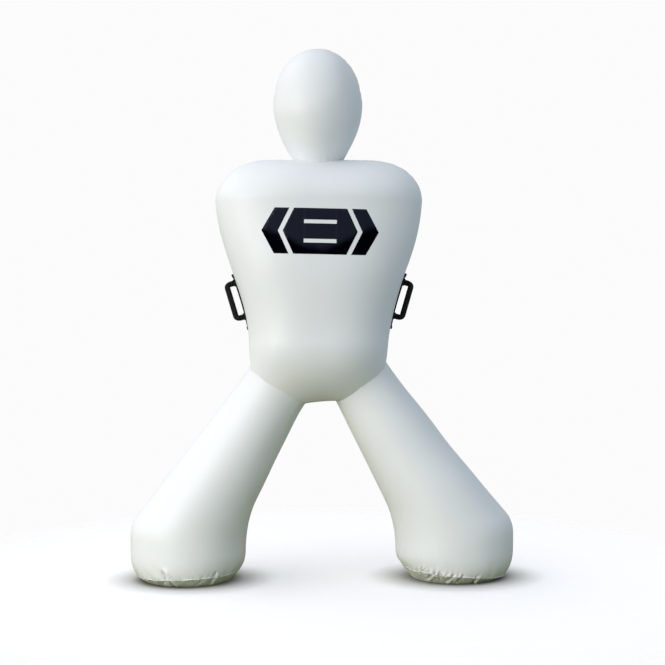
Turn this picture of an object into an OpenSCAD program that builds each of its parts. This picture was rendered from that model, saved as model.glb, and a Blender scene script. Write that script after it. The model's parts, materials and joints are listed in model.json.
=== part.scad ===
// Air-filled grappling dummy: welded PVC skin panels, two side carry handles and one air valve.
// Origin on the floor, midway between the feet. +Z up, the chest faces -Y, +X is the dummy's left.

/* [Skin] */
// Thickness of the coated PVC fabric
skin_t = 1.2; // [0.8:0.1:2]

/* [Torso] */
// Width across the shoulders
shoulder_w = 702; // [560:2:860]
// Height from the hip axis to the top of the shoulders
torso_h = 609; // [500:1:740]
// Height of the rounded shoulder above the widest line
shoulder_rise = 140; // [90:1:190]
// Width of the rounded corner of each shoulder
shoulder_round = 180; // [120:1:230]
// Depth of the chest at the shoulders
chest_d = 410; // [320:2:500]
// Extra half depth of the belly between chest and hips
belly_swell = 12; // [0:1:30]
// Width across the hips, at the hip axis
hip_w = 468; // [400:2:560]
// Outward lean of the sides just above the hip axis, as rise per full side height
hip_flare = 50; // [0:1:90]
// Inward lean of the sides just below the shoulders
chest_flare = 30; // [0:1:60]
// Roundness of the level sections: 2 is an ellipse, larger is squarer
section_power = 2.6; // [2.2:0.1:3.2]

/* [Head] */
// Width of the head
head_w = 300; // [240:2:360]
// Height of the head from the neck rim to the crown
head_h = 346; // [280:2:420]
// Height of the widest line of the head above the neck rim
head_wide_h = 153; // [120:1:190]
// Diameter of the neck tube
neck_d = 187; // [150:1:220]
// Height of the neck rim above the top of the shoulders
neck_h = 30; // [26:1:50]
// Gap between the neck tube and the head rim
neck_gap = 1.5; // [0.6:0.1:3]

/* [Legs] */
// Height of the hip axis above the floor
hip_h = 815; // [680:1:980]
// Lean of each leg's centre line from upright, in degrees
leg_splay = 31.85; // [24:0.05:36]
// Half angle of the cone that each leg widens by, in degrees
leg_taper = 5.95; // [3:0.05:8]
// Distance of each leg's root centre from the middle
leg_root_x = 122; // [110:1:140]
// Distance of the leg root below the hip axis
leg_root_drop = 115; // [100:1:130]
// Radius of each leg at its root
leg_root_r = 103; // [90:1:110]
// Gap between the torso bowl and the rim of a leg
hip_gap = 1.5; // [0.6:0.1:4]
// Height at which the leg turns upright into the boot
ankle_h = 190; // [150:1:230]
// Bend radius of the outer side of the boot
boot_outer_r = 110; // [60:1:160]
// Bend radius of the inner side of the boot
boot_inner_r = 400; // [200:5:480]

/* [Soles] */
// Height of the sole seam above the floor
sole_h = 22; // [14:1:36]
// How far the skin draws in at the sole seam
sole_draw = 17; // [6:1:26]
// Height up to which the boot draws in
sole_draw_h = 120; // [80:1:140]
// Share of the sole that lies flat on the floor
sole_flat = 0.72; // [0.5:0.01:0.85]

/* [Handles] */
// Height of the middle of each handle above the hip axis
handle_rise = 130; // [90:1:180]
// Length of the base strip
strip_l = 196; // [180:1:240]
// Width of the base strip, front to back
strip_w = 40; // [30:1:60]
// Thickness of the base strip
strip_t = 4; // [2:0.5:5]
// Length of the grip over its two arms
grip_l = 138; // [120:1:150]
// Height of the grip's middle above the strip's middle
grip_rise = 9; // [0:1:12]
// Distance from the strip to the outer side of the grip
grip_reach = 38; // [37:1:60]
// Thickness of the grip, seen from the front
grip_t = 19; // [15:1:20]
// Width of the grip, front to back
grip_w = 26; // [22:1:34]
// Radius at the middle of the grip's corners
grip_corner_r = 11; // [10.5:0.5:13]
// Height of the saddle that each arm sits in
saddle_h = 4; // [3:0.5:6]
// Width of the saddle, front to back
saddle_w = 16; // [12:1:18]
// How far each grip flops to the front and to the back, in degrees
grip_flop = 65; // [45:1:65]

/* [Emblem] */
// Width of the chest emblem
emblem_w = 384; // [200:2:420]
// Height of the chest emblem
emblem_h = 150; // [80:2:180]
// Height of the emblem's middle above the hip axis
emblem_rise = 361; // [300:1:420]
// Thickness of the emblem film
emblem_t = 0.5; // [0.3:0.1:1]

/* [Valve] */
// Height of the valve above the hip axis, on the back
valve_rise = 200; // [100:1:300]
// Outer diameter of the flange
flange_d = 64; // [56:1:76]
// Thickness of the flange
flange_t = 3; // [2:0.5:5]
// Outer diameter of the barrel that passes through the skin
barrel_d = 38; // [34:1:44]
// Bore of the barrel
bore_d = 30; // [27:1:32]
// Length of the barrel inside the skin
barrel_l = 18; // [17:1:26]
// Diameter of the plunger's stem
stem_d = 6; // [5:0.5:7]
// Diameter of the cap
cap_d = 46; // [40:1:50]
// Width of the tether strap
tether_w = 7; // [5:1:10]

/* [Hidden] */
$fn = 96;
LEFT = 1;
RIGHT = -1;
FRONT = -1;
BACK = 1;
skin_colour = "white";
trim_colour = "#16181d";

// Heights
shoulder_top = hip_h + torso_h;
chest_z = shoulder_top - shoulder_rise;
side_h = chest_z - hip_h;
neck_z = shoulder_top + neck_h;
crown_z = neck_z + head_h;

// Torso sections
hip_r = chest_d / 2;
seam_gap = 0.4;
torso_cols = 24;
bowl_rows = 7;
side_rows = 9;
shoulder_rows = 7;

function superellipse(x, half_w, half_d) =
    half_d * pow(max(0, 1 - pow(min(1, abs(x) / half_w), section_power)), 1 / section_power);
function side_share(z) = max(0, min(1, (z - hip_h) / side_h));
function side_curve(u) =
    let (s = u * u * (3 - 2 * u))
    (hip_w * (1 - s) + shoulder_w * s) / 2
    + hip_flare * u * pow(1 - u, 2) + chest_flare * u * u * (u - 1);
function side_half_w(z) = side_curve(side_share(z));
function side_half_d(z) = chest_d / 2 + belly_swell * sin(180 * side_share(z));
function front_depth(x, z) = superellipse(x, side_half_w(z), side_half_d(z));

// Share of the half width at each column, from one side to the other
column_shares = [for (j = [0:torso_cols]) cos(180 * j / torso_cols)];

// One row of the bowl: the hip section turned about the hip axis, from level (0) to straight down (90)
function bowl_row(turn, inset) =
    [for (c = column_shares)
        let (x = c * (hip_w / 2 - inset), r = superellipse(x, hip_w / 2 - inset, hip_r - inset))
        [x, r * cos(turn), hip_h - r * sin(turn)]];
function level_row(half_w, half_d, z) =
    [for (c = column_shares) [c * half_w, superellipse(c * half_w, half_w, half_d), z]];
function side_row(z, inset) = level_row(side_half_w(z) - inset, side_half_d(z) - inset, z);
function shoulder_row(turn, inset) =
    let (flat = shoulder_w / 2 - shoulder_round)
    level_row(flat + (shoulder_round - inset) * cos(turn), (chest_d / 2 - inset) * cos(turn),
              chest_z + (shoulder_rise - inset) * sin(turn));
function torso_rows(inset) =
    concat([for (i = [0:bowl_rows - 1]) bowl_row(90 * (1 - i / bowl_rows), inset)],
           [for (i = [0:side_rows - 1]) side_row(hip_h + side_h * i / side_rows, inset)],
           [for (i = [0:shoulder_rows]) shoulder_row(90 * i / shoulder_rows, inset)]);

// Head outline: an egg with a rounder crown, drawn in to the neck rim
head_steps = 14;
crown_power = 2.15;
jaw_power = 2.2;
jaw_fullness = 0.83;
neck_rim_r = neck_d / 2 + neck_gap;
head_wide_z = neck_z + head_wide_h;
crown_h = head_h - head_wide_h;
function crown_curve(inset) =
    [for (i = [0:head_steps])
        let (a = 90 * i / head_steps, e = 2 / crown_power)
        [(head_w / 2 - inset) * pow(cos(a), e), head_wide_z + (crown_h - inset) * pow(sin(a), e)]];
function jaw_curve(inset) =
    [for (i = [0:head_steps - 1])
        let (u = i / head_steps, rim = neck_rim_r + skin_t - inset)
        [rim + (head_w / 2 - skin_t - neck_rim_r) * pow(1 - pow(1 - u, jaw_power), jaw_fullness),
         neck_z + head_wide_h * u]];
function head_curve(inset) = concat(jaw_curve(inset), crown_curve(inset));

// Leg outlines in the plane of the two legs: a cone that turns upright at the ankle
leg_rows = 16;
leg_cols = 14;
rim_reach = 0.2;
root = [leg_root_x, hip_h - leg_root_drop];
leg_dir = [sin(leg_splay), -cos(leg_splay)];
leg_across = [cos(leg_splay), sin(leg_splay)];
function turned(side) = [sin(leg_splay + side * leg_taper), -cos(leg_splay + side * leg_taper)];
function edge_start(side) = root + side * leg_root_r * leg_across;
function drop_to(p, dir, z) = p + dir * (z - p[1]) / dir[1];
function bend_start(side, r) =
    let (corner = drop_to(edge_start(side), turned(side), ankle_h))
    corner - turned(side) * r * tan((leg_splay + side * leg_taper) / 2);
function bend_radius(side) = side > 0 ? boot_outer_r : boot_inner_r;
function run_length(side) = norm(bend_start(side, bend_radius(side)) - edge_start(side));
function bend_length(side) = bend_radius(side) * (leg_splay + side * leg_taper) * PI / 180;
function bend_end(side) = bend_at(side, bend_length(side));
function bend_at(side, s) =
    let (r = bend_radius(side), a = leg_splay + side * leg_taper, b = a - s / r * 180 / PI)
    bend_start(side, r) + r * [cos(b) - cos(a), sin(b) - sin(a)];
function upright_length(side) = bend_end(side)[1] - sole_h;
function edge_length(side) = run_length(side) + bend_length(side) + upright_length(side);
function draw_in(side, z) =
    side * sole_draw * pow(max(0, (sole_draw_h - z) / (sole_draw_h - sole_h)), 2.2);
function edge_at(side, share) =
    let (s = share * edge_length(side), run = run_length(side), bend = bend_length(side),
         p = s < run ? edge_start(side) + turned(side) * s
           : s < run + bend ? bend_at(side, s - run)
           : bend_end(side) - [0, s - run - bend])
    [p[0] - draw_in(side, p[1]), p[1]];
function leg_half_d(middle, inset) =
    leg_root_r + (middle - root) * leg_dir * tan(leg_taper) - draw_in(1, middle[1]) - inset;
// A point of the leg's skin, at a share of its length and an angle round it (0 is the outer side)
function leg_point(share, angle, inset) =
    let (outer = edge_at(1, share), inner = edge_at(-1, share),
         middle = (outer + inner) / 2, half = (outer - inner) / 2,
         reach = half * (1 - inset / norm(half)), p = middle + reach * cos(angle))
    [p[0], leg_half_d(middle, inset) * sin(angle), p[1]];
// How far a point stands outside the pocket that clears the torso bowl
function outside_bowl(p) =
    norm([p[1], p[2] - hip_h]) - superellipse(p[0], hip_w / 2 + hip_gap, hip_r + hip_gap);
function rim_share(angle, low = 0, high = rim_reach, tries = 18) =
    let (middle = (low + high) / 2)
    tries == 0 ? high
    : outside_bowl(leg_point(middle, angle, 0)) < 0 ? rim_share(angle, middle, high, tries - 1)
    : rim_share(angle, low, middle, tries - 1);
leg_angles = [for (j = [0:leg_cols]) 180 * j / leg_cols];
leg_rims = [for (angle = leg_angles) rim_share(angle)];
function leg_grid(inset) =
    [for (i = [0:leg_rows])
        [for (j = [0:leg_cols])
            leg_point(leg_rims[j] + (1 - leg_rims[j]) * i / leg_rows, leg_angles[j], inset)]];

// Sole
sole_rows = 6;
foot_outer = edge_at(1, 1)[0];
foot_inner = edge_at(-1, 1)[0];
foot_x = (foot_outer + foot_inner) / 2;
sole_half_w = (foot_outer - foot_inner) / 2;
sole_half_d = leg_half_d([foot_x, sole_h], 0);
sole_shares = concat([for (i = [0:sole_rows]) sole_flat + (1 - sole_flat) * cos(90 * i / sole_rows)],
                     [sole_flat / 2]);
sole_heights = concat([for (i = [0:sole_rows]) sole_h * (1 - sin(90 * i / sole_rows))], [0]);
function sole_ring(i, inset) =
    [for (k = [0:2 * leg_cols - 1])
        let (angle = 180 * k / leg_cols, reach = sole_shares[i])
        [foot_x + (sole_half_w - inset) * reach * cos(angle),
         (sole_half_d - inset) * reach * sin(angle),
         sole_heights[i] + inset * (i == 0 ? 0 : 1)]];

// Handles
handle_z = hip_h + handle_rise;
strip_gap = 1;
strip_steps = 16;
slope_step = 5;
handle_lean = atan((side_half_w(handle_z + slope_step) - side_half_w(handle_z - slope_step)) / (2 * slope_step));
grip_r = grip_t / 2;
hinge_gap = 0.5;
hinge_x = grip_r + hinge_gap;
arm_z = grip_l / 2 - grip_r;
bar_x = grip_reach - grip_r;
// Distance from the hinge at which an arm may have its full width and still clear the strip when it flops
arm_root = (grip_w / 2 * sin(grip_flop) - hinge_x + hinge_gap) / cos(grip_flop);
barrel_len = grip_t + 1;
saddle_l = barrel_len + 4;
// Bow of the strip under both edges of the two saddles
saddle_bows = [for (end = [-1, 1], edge = [-1, 1]) strip_bow(grip_rise + end * arm_z + edge * saddle_l / 2)];
strip_face_x = max(saddle_bows) + strip_t;
saddle_foot_x = max(saddle_bows) + strip_t / 4;
// Distance of the torso side from the strip's straight line, at a distance along the strip
function strip_bow(s) =
    (side_half_w(handle_z + s * cos(handle_lean)) - side_half_w(handle_z)) * cos(handle_lean)
    - s * cos(handle_lean) * sin(handle_lean) + strip_gap;

// Emblem
emblem_cols = 16;
emblem_rows = 6;
emblem_gap = 0.5;
emblem_z = hip_h + emblem_rise;
function emblem_grid(lift) =
    [for (i = [0:emblem_rows])
        let (z = emblem_z + emblem_h * (i / emblem_rows - 0.5))
        [for (j = [0:emblem_cols])
            let (x = emblem_w * (0.5 - j / emblem_cols))
            [x, front_depth(x, z) + lift, z]]];

// Valve, drawn along +Z and turned to face backwards
valve_z = hip_h + valve_rise;
// The flange stands clear of the back's highest point beneath it
valve_y = max([for (s = [-1:0.25:1]) side_half_d(valve_z + s * flange_d / 2)]);
fit_gap = 0.3;
run_gap = 0.05;
gasket_t = 1.2;
gasket_inset = 2;
flange_z = fit_gap + gasket_t;
flange_top = flange_z + flange_t;
seat_t = 2;
seat_d = 18;
weld_in = 1;
guide_z = -13;
guide_t = 2;
hub_d = 11;
spokes = 3;
spoke_w = 3;
button_d = 14;
button_t = 2;
button_z = -5;
seal_d = 24;
seal_t = 2;
stem_end = -barrel_l - seal_t - 1;
wire_d = 0.9;
spring_turns = 3;
spring_d = 9.5;
nut_d = 56;
nut_t = 6;
nut_z = -11;
nut_notches = 6;
thread_gap = 0.1;
cap_z = flange_top + gasket_t + 0.2;
cap_t = 4;
knob_d = 24;
knob_h = 5;
knob_neck_d = 18;
plug_d = bore_d - 1;
plug_l = 5;
plug_wall = 2.5;
cap_ribs = 12;
tether_t = 1.6;
tether_ring = 4;

// A skin panel: an outer and an inner grid of points, closed round the edge. Faces of no size are left out.
module skin_panel(outer, inner) {
    rows = len(outer);
    cols = len(outer[0]);
    points = concat([for (row = outer) each row], [for (row = inner) each row]);
    inner_start = rows * cols;
    outer_faces = [for (i = [0:rows - 2], j = [0:cols - 2])
        let (a = i * cols + j, b = a + 1, c = b + cols, d = a + cols)
        each [[a, b, c], [a, c, d]]];
    inner_faces = [for (f = outer_faces) [f[2], f[1], f[0]] + [1, 1, 1] * inner_start];
    edge = concat([for (j = [0:cols - 1]) j],
                  [for (i = [1:rows - 1]) i * cols + cols - 1],
                  [for (j = [cols - 2:-1:0]) (rows - 1) * cols + j],
                  [for (i = [rows - 2:-1:1]) i * cols]);
    rim_faces = [for (k = [0:len(edge) - 1])
        let (a = edge[k], b = edge[(k + 1) % len(edge)])
        each [[b, a, a + inner_start], [b, a + inner_start, b + inner_start]]];
    solid_faces = [for (f = concat(outer_faces, inner_faces, rim_faces))
        if (norm(cross(points[f[1]] - points[f[0]], points[f[2]] - points[f[0]])) > 1e-6) f];
    polyhedron(points, solid_faces);
}

// A domed skin disc: outer and inner rings from the rim inwards, closed at the middle and round the rim
module skin_disc(outer, inner, outer_middle, inner_middle) {
    rings = len(outer);
    n = len(outer[0]);
    points = concat([for (ring = outer) each ring], [outer_middle],
                    [for (ring = inner) each ring], [inner_middle]);
    inner_start = rings * n + 1;
    outer_faces = concat(
        [for (i = [0:rings - 2], k = [0:n - 1])
            let (a = i * n + k, b = i * n + (k + 1) % n)
            each [[a, b, b + n], [a, b + n, a + n]]],
        [for (k = [0:n - 1]) [(rings - 1) * n + k, (rings - 1) * n + (k + 1) % n, rings * n]]);
    inner_faces = [for (f = outer_faces) [f[2], f[1], f[0]] + [1, 1, 1] * inner_start];
    rim_faces = [for (k = [0:n - 1])
        let (a = k, b = (k + 1) % n)
        each [[b, a, a + inner_start], [b, a + inner_start, b + inner_start]]];
    polyhedron(points, concat(outer_faces, inner_faces, rim_faces));
}

module ring(outer_d, inner_d, h) {
    difference() {
        cylinder(d = outer_d, h = h);
        translate([0, 0, -1]) cylinder(d = inner_d, h = h + 2);
    }
}

// Torso

// Grids are drawn on the +Y side, so the front panel is their mirror image
module torso_half(side) {
    mirror([0, side == FRONT ? 1 : 0, 0])
        skin_panel(torso_rows(0), torso_rows(skin_t));
}

// Openings that let the air pass into the neck and the legs; the neck tube stands in its own
module torso_ports() {
    port_r = 62;
    port_l = 160;
    translate([0, 0, neck_z]) sphere(r = neck_d / 2 + seam_gap);
    for (side = [LEFT, RIGHT])
        translate([side * root[0], 0, root[1]])
            rotate([0, side * (180 - leg_splay), 0])
                translate([0, 0, -port_l / 4]) cylinder(r = port_r, h = port_l);
}

module torso_front_panel() {
    color(skin_colour)
        difference() {
            torso_half(FRONT);
            torso_ports();
        }
}

module torso_back_panel() {
    color(skin_colour)
        difference() {
            torso_half(BACK);
            torso_ports();
            at_valve() translate([0, 0, -barrel_l]) cylinder(d = barrel_d + 2 * fit_gap, h = 2 * barrel_l);
        }
}

module chest_emblem() {
    color(trim_colour)
        mirror([0, 1, 0])
            skin_panel(emblem_grid(emblem_gap + emblem_t), emblem_grid(emblem_gap));
}

// Neck and head

// A short sleeve with a ball-shaped outside, centred on the nod axis, so the head's rim rides on it
module neck_tube() {
    low = -48;
    high = 34;
    arc_steps = 12;
    outer = neck_d / 2;
    function arc(r) = [for (i = [0:arc_steps])
        let (h = low + (high - low) * i / arc_steps)
        [sqrt(r * r - h * h), h]];
    inner_arc = arc(outer - skin_t);
    color(skin_colour)
        translate([0, 0, neck_z])
            rotate_extrude()
                polygon(concat(arc(outer), [for (i = [arc_steps:-1:0]) inner_arc[i]]));
}

module head_half(side) {
    inner = head_curve(skin_t);
    color(skin_colour)
        rotate([0, 0, side == FRONT ? 180 : 0])
            rotate_extrude(angle = 180)
                polygon(concat(head_curve(0), [for (i = [len(inner) - 1:-1:0]) inner[i]]));
}

// Legs

module leg_half(side, face) {
    color(skin_colour)
        mirror([side == RIGHT ? 1 : 0, 0, 0])
            mirror([0, face == FRONT ? 1 : 0, 0])
                skin_panel(leg_grid(0), leg_grid(skin_t));
}

module sole_panel(side) {
    last = len(sole_shares) - 1;
    color(skin_colour)
        mirror([side == RIGHT ? 1 : 0, 0, 0])
            skin_disc([for (i = [0:last]) sole_ring(i, 0)], [for (i = [0:last]) sole_ring(i, skin_t)],
                      [foot_x, 0, 0], [foot_x, 0, skin_t]);
}

// Handles

// Places a handle drawn with +X outwards, +Z along the strip and its origin on the torso's side
module at_handle(side) {
    mirror([side == RIGHT ? 1 : 0, 0, 0])
        translate([side_half_w(handle_z), 0, handle_z])
            rotate([0, handle_lean, 0])
                children();
}

module handle_base(side) {
    outline = [for (i = [0:strip_steps]) strip_l * (i / strip_steps - 0.5)];
    color(trim_colour)
        at_handle(side) {
            rotate([90, 0, 0])
                translate([0, 0, -strip_w / 2])
                    linear_extrude(strip_w)
                        polygon(concat([for (s = outline) [strip_bow(s), s]],
                                       [for (i = [strip_steps:-1:0]) [strip_bow(outline[i]) + strip_t, outline[i]]]));
            for (end = [-1, 1])
                difference() {
                    translate([saddle_foot_x, -saddle_w / 2, grip_rise + end * arm_z - saddle_l / 2])
                        cube([strip_face_x + saddle_h - saddle_foot_x, saddle_w, saddle_l]);
                    translate([strip_face_x + hinge_x, 0, grip_rise + end * arm_z - saddle_l])
                        cylinder(r = grip_r + hinge_gap / 2, h = 2 * saddle_l);
                }
        }
}

module grip_section() {
    square([grip_t, grip_w - grip_t], center = true);
    for (y = [-1, 1])
        translate([0, y * (grip_w - grip_t) / 2]) circle(d = grip_t);
}

module handle_grip(side) {
    arm_x = hinge_x + arm_root;
    arm_l = bar_x - grip_corner_r - arm_x;
    color(trim_colour)
        at_handle(side)
            translate([strip_face_x, 0, grip_rise]) {
                translate([bar_x, 0, -(arm_z - grip_corner_r)])
                    linear_extrude(2 * (arm_z - grip_corner_r)) grip_section();
                for (end = [-1, 1])
                    mirror([0, 0, end < 0 ? 1 : 0]) {
                        translate([bar_x - grip_corner_r, 0, arm_z - grip_corner_r])
                            rotate([90, 0, 0])
                                rotate_extrude(angle = 90)
                                    translate([grip_corner_r, 0]) grip_section();
                        translate([arm_x, 0, arm_z])
                            rotate([0, 90, 0])
                                linear_extrude(arm_l) grip_section();
                        translate([hinge_x, 0, arm_z - barrel_len / 2])
                            cylinder(r = grip_r, h = barrel_len);
                    }
            }
}

// Valve

module at_valve() {
    translate([0, valve_y, valve_z]) rotate([-90, 0, 0]) children();
}

module valve_body() {
    color("whitesmoke")
        at_valve() {
            translate([0, 0, flange_z]) ring(flange_d, bore_d, flange_t);
            translate([0, 0, -barrel_l]) ring(barrel_d, bore_d, barrel_l + flange_z + flange_t / 2);
            translate([0, 0, -barrel_l]) ring(bore_d + 2 * weld_in, seat_d, seat_t);
            difference() {
                translate([0, 0, guide_z]) {
                    cylinder(d = hub_d, h = guide_t);
                    for (k = [0:spokes - 1])
                        rotate([0, 0, 360 * k / spokes])
                            translate([0, -spoke_w / 2, 0]) cube([bore_d / 2 + weld_in, spoke_w, guide_t]);
                }
                translate([0, 0, guide_z - 1]) cylinder(d = stem_d + 2 * run_gap, h = guide_t + 2);
            }
        }
}

module valve_gasket() {
    color("dimgray") at_valve() translate([0, 0, fit_gap]) ring(flange_d - 2 * gasket_inset, barrel_d + gasket_inset / 2, gasket_t);
}

module valve_nut() {
    notch_w = 6;
    notch_depth = 3;
    color("gainsboro")
        at_valve() translate([0, 0, nut_z])
            difference() {
                ring(nut_d, barrel_d + 2 * thread_gap, nut_t);
                for (k = [0:nut_notches - 1])
                    rotate([0, 0, 360 * k / nut_notches])
                        translate([nut_d / 2 - notch_depth, -notch_w / 2, -1])
                            cube([2 * notch_depth, notch_w, nut_t + 2]);
            }
}

module valve_stem() {
    color("lightsteelblue")
        at_valve() {
            translate([0, 0, stem_end]) cylinder(d = stem_d, h = button_z - stem_end);
            translate([0, 0, button_z]) cylinder(d = button_d, h = button_t);
        }
}

module valve_seal() {
    color("dimgray") at_valve()
        translate([0, 0, -barrel_l - seal_t - 0.1]) ring(seal_d, stem_d, seal_t);
}

// A coil of round wire, swept as rings of points along the helix
module valve_spring() {
    sides = 8;
    steps = 14;
    bottom = guide_z + guide_t + wire_d / 2 + 0.05;
    top = button_z - wire_d / 2 - 0.05;
    count = spring_turns * steps;
    function wire_ring(i) =
        let (a = 360 * i / steps, z = bottom + (top - bottom) * i / count)
        [for (k = [0:sides - 1])
            let (b = 360 * k / sides, r = spring_d / 2 + wire_d / 2 * cos(b))
            [r * cos(a), r * sin(a), z + wire_d / 2 * sin(b)]];
    points = [for (i = [0:count]) each wire_ring(i)];
    walls = [for (i = [0:count - 1], k = [0:sides - 1])
        let (a = i * sides + k, b = i * sides + (k + 1) % sides)
        each [[a, b, b + sides], [a, b + sides, a + sides]]];
    ends = [[for (k = [sides - 1:-1:0]) k], [for (k = [0:sides - 1]) count * sides + k]];
    color("silver") at_valve() polyhedron(points, concat(walls, ends));
}

module valve_cap() {
    grip_notch = 2.5;
    color(trim_colour)
        at_valve() {
            difference() {
                translate([0, 0, cap_z]) cylinder(d = cap_d, h = cap_t);
                for (k = [0:cap_ribs - 1])
                    rotate([0, 0, 360 * (k + 0.5) / cap_ribs])
                        translate([cap_d / 2 + 0.5, 0, cap_z - 1]) cylinder(d = grip_notch, h = cap_t + 2, $fn = 24);
            }
            translate([0, 0, cap_z + cap_t - weld_in])
                cylinder(d = knob_neck_d, h = tether_t + 2 * fit_gap + weld_in);
            translate([0, 0, cap_z + cap_t + tether_t + 2 * fit_gap]) cylinder(d = knob_d, h = knob_h - tether_t);
            translate([0, 0, cap_z - plug_l]) ring(plug_d, plug_d - 2 * plug_wall, plug_l + weld_in);
        }
}

module cap_gasket() {
    color("dimgray") at_valve() translate([0, 0, flange_top + 0.1]) ring(cap_d - 2 * gasket_inset, bore_d + gasket_inset, gasket_t);
}

// Strap with a loose ring under the cap's knob and a ring round the flange, bent down between them
module cap_tether() {
    top_z = cap_z + cap_t + fit_gap;
    low_z = fit_gap + gasket_t / 2;
    top_hole = knob_neck_d + 2 * fit_gap;
    low_hole = flange_d + 2 * fit_gap;
    reach = flange_d / 2 + fit_gap + tether_ring;
    color(trim_colour)
        at_valve() {
            translate([0, 0, top_z]) ring(top_hole + 2 * tether_ring - weld_in, top_hole, tether_t);
            translate([0, 0, low_z]) ring(low_hole + 2 * tether_ring, low_hole, tether_t);
            translate([top_hole / 2 + weld_in, -tether_w / 2, top_z])
                cube([reach - top_hole / 2 - weld_in, tether_w, tether_t]);
            translate([reach - tether_t, -tether_w / 2, low_z])
                cube([tether_t, tether_w, top_z + tether_t - low_z]);
        }
}

torso_front_panel();
torso_back_panel();
chest_emblem();
neck_tube();
head_half(FRONT);  // head_front_panel
head_half(BACK);  // head_back_panel
leg_half(LEFT, FRONT);  // left_leg_front_panel
leg_half(LEFT, BACK);  // left_leg_back_panel
sole_panel(LEFT);  // left_sole_panel
leg_half(RIGHT, FRONT);  // right_leg_front_panel
leg_half(RIGHT, BACK);  // right_leg_back_panel
sole_panel(RIGHT);  // right_sole_panel
handle_base(LEFT);  // left_handle_base
handle_grip(LEFT);  // left_handle_grip
handle_base(RIGHT);  // right_handle_base
handle_grip(RIGHT);  // right_handle_grip
valve_body();
valve_gasket();
valve_nut();
valve_stem();
valve_seal();
valve_spring();
valve_cap();
cap_gasket();
cap_tether();
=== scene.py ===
"""Air-filled grappling dummy: glossy welded PVC skins, webbing side handles, chest emblem and air valve.

Every length is in metres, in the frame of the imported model: +Z up, chest towards -Y, +X is the dummy's left.
"""
from __future__ import annotations

import json
import logging
import math
from dataclasses import dataclass, field
from enum import Enum
from typing import Callable

import bmesh
import bpy
import numpy as np
from mathutils import Matrix, Vector
from mathutils.bvhtree import BVHTree
from mathutils.kdtree import KDTree

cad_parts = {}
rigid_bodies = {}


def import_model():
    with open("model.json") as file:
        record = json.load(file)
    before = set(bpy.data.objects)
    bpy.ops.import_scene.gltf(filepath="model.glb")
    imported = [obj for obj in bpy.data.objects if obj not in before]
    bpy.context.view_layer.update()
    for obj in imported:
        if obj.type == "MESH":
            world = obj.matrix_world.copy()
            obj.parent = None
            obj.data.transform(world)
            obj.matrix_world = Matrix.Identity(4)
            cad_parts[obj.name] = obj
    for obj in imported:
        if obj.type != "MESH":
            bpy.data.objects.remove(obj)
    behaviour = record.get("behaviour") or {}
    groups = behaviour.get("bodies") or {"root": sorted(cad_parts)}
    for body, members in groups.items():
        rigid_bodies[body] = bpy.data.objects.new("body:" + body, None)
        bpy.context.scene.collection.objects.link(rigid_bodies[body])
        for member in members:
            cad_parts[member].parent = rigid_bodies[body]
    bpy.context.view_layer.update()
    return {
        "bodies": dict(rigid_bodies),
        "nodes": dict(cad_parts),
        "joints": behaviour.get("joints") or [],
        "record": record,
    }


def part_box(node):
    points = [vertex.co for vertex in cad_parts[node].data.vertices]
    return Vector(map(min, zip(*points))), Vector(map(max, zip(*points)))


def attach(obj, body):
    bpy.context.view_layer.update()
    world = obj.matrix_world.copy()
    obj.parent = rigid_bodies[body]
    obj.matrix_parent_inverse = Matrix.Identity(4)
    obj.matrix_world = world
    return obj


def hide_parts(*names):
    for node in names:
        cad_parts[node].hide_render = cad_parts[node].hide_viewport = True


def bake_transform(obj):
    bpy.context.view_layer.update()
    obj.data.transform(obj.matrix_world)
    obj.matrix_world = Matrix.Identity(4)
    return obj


LOG = logging.getLogger("dummy")

Points = np.ndarray
Field = Callable[[Points], Points]
Colour = tuple[float, float, float, float]
Place = tuple[float, float, float]


class Side(Enum):
    """Which side of the dummy a piece is on; the value is the sign of X."""

    LEFT = 1
    RIGHT = -1

    @property
    def word(self) -> str:
        """The side's name as pieces and bodies use it."""
        return self.name.lower()


class Face(Enum):
    """Front or back panel; the value is the sign of Y."""

    FRONT = -1
    BACK = 1

    @property
    def word(self) -> str:
        """The face's name as pieces use it."""
        return self.name.lower()


# ---------------------------------------------------------------------------------------------
# Mesh helpers
# ---------------------------------------------------------------------------------------------


def between(value: Points, low: float, high: float) -> Points:
    """How far a value has come from low to high, held from 0 to 1."""
    return np.clip((value - low) / (high - low), 0, 1)


def eased(share: Points) -> Points:
    """A share from 0 to 1 that starts and stops gently."""
    return share * share * (3 - 2 * share)


def unit(vectors: Points) -> Points:
    """Each row of an array of vectors at length 1."""
    return vectors / np.linalg.norm(vectors, axis=1, keepdims=True)


def resample(line: Points, step: float) -> Points:
    """The same line with evenly spaced points."""
    along = np.concatenate([[0.0], np.cumsum(np.linalg.norm(np.diff(line, axis=0), axis=1))])
    marks = np.linspace(0, along[-1], max(2, int(along[-1] / step)))
    return np.stack([np.interp(marks, along, line[:, k]) for k in range(3)], axis=1)


def grid_faces(rows: int, cols: int, closed: bool = False) -> list[tuple[int, int, int, int]]:
    """Quads of a grid of points.

    Args:
        rows: number of rows of points.
        cols: number of points in a row.
        closed: whether each row runs round in a ring.

    Returns:
        One tuple of four point numbers per quad.
    """
    wrap = cols if closed else cols - 1
    return [
        (i * cols + j, i * cols + (j + 1) % cols, (i + 1) * cols + (j + 1) % cols, (i + 1) * cols + j)
        for i in range(rows - 1)
        for j in range(wrap)
    ]


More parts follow.
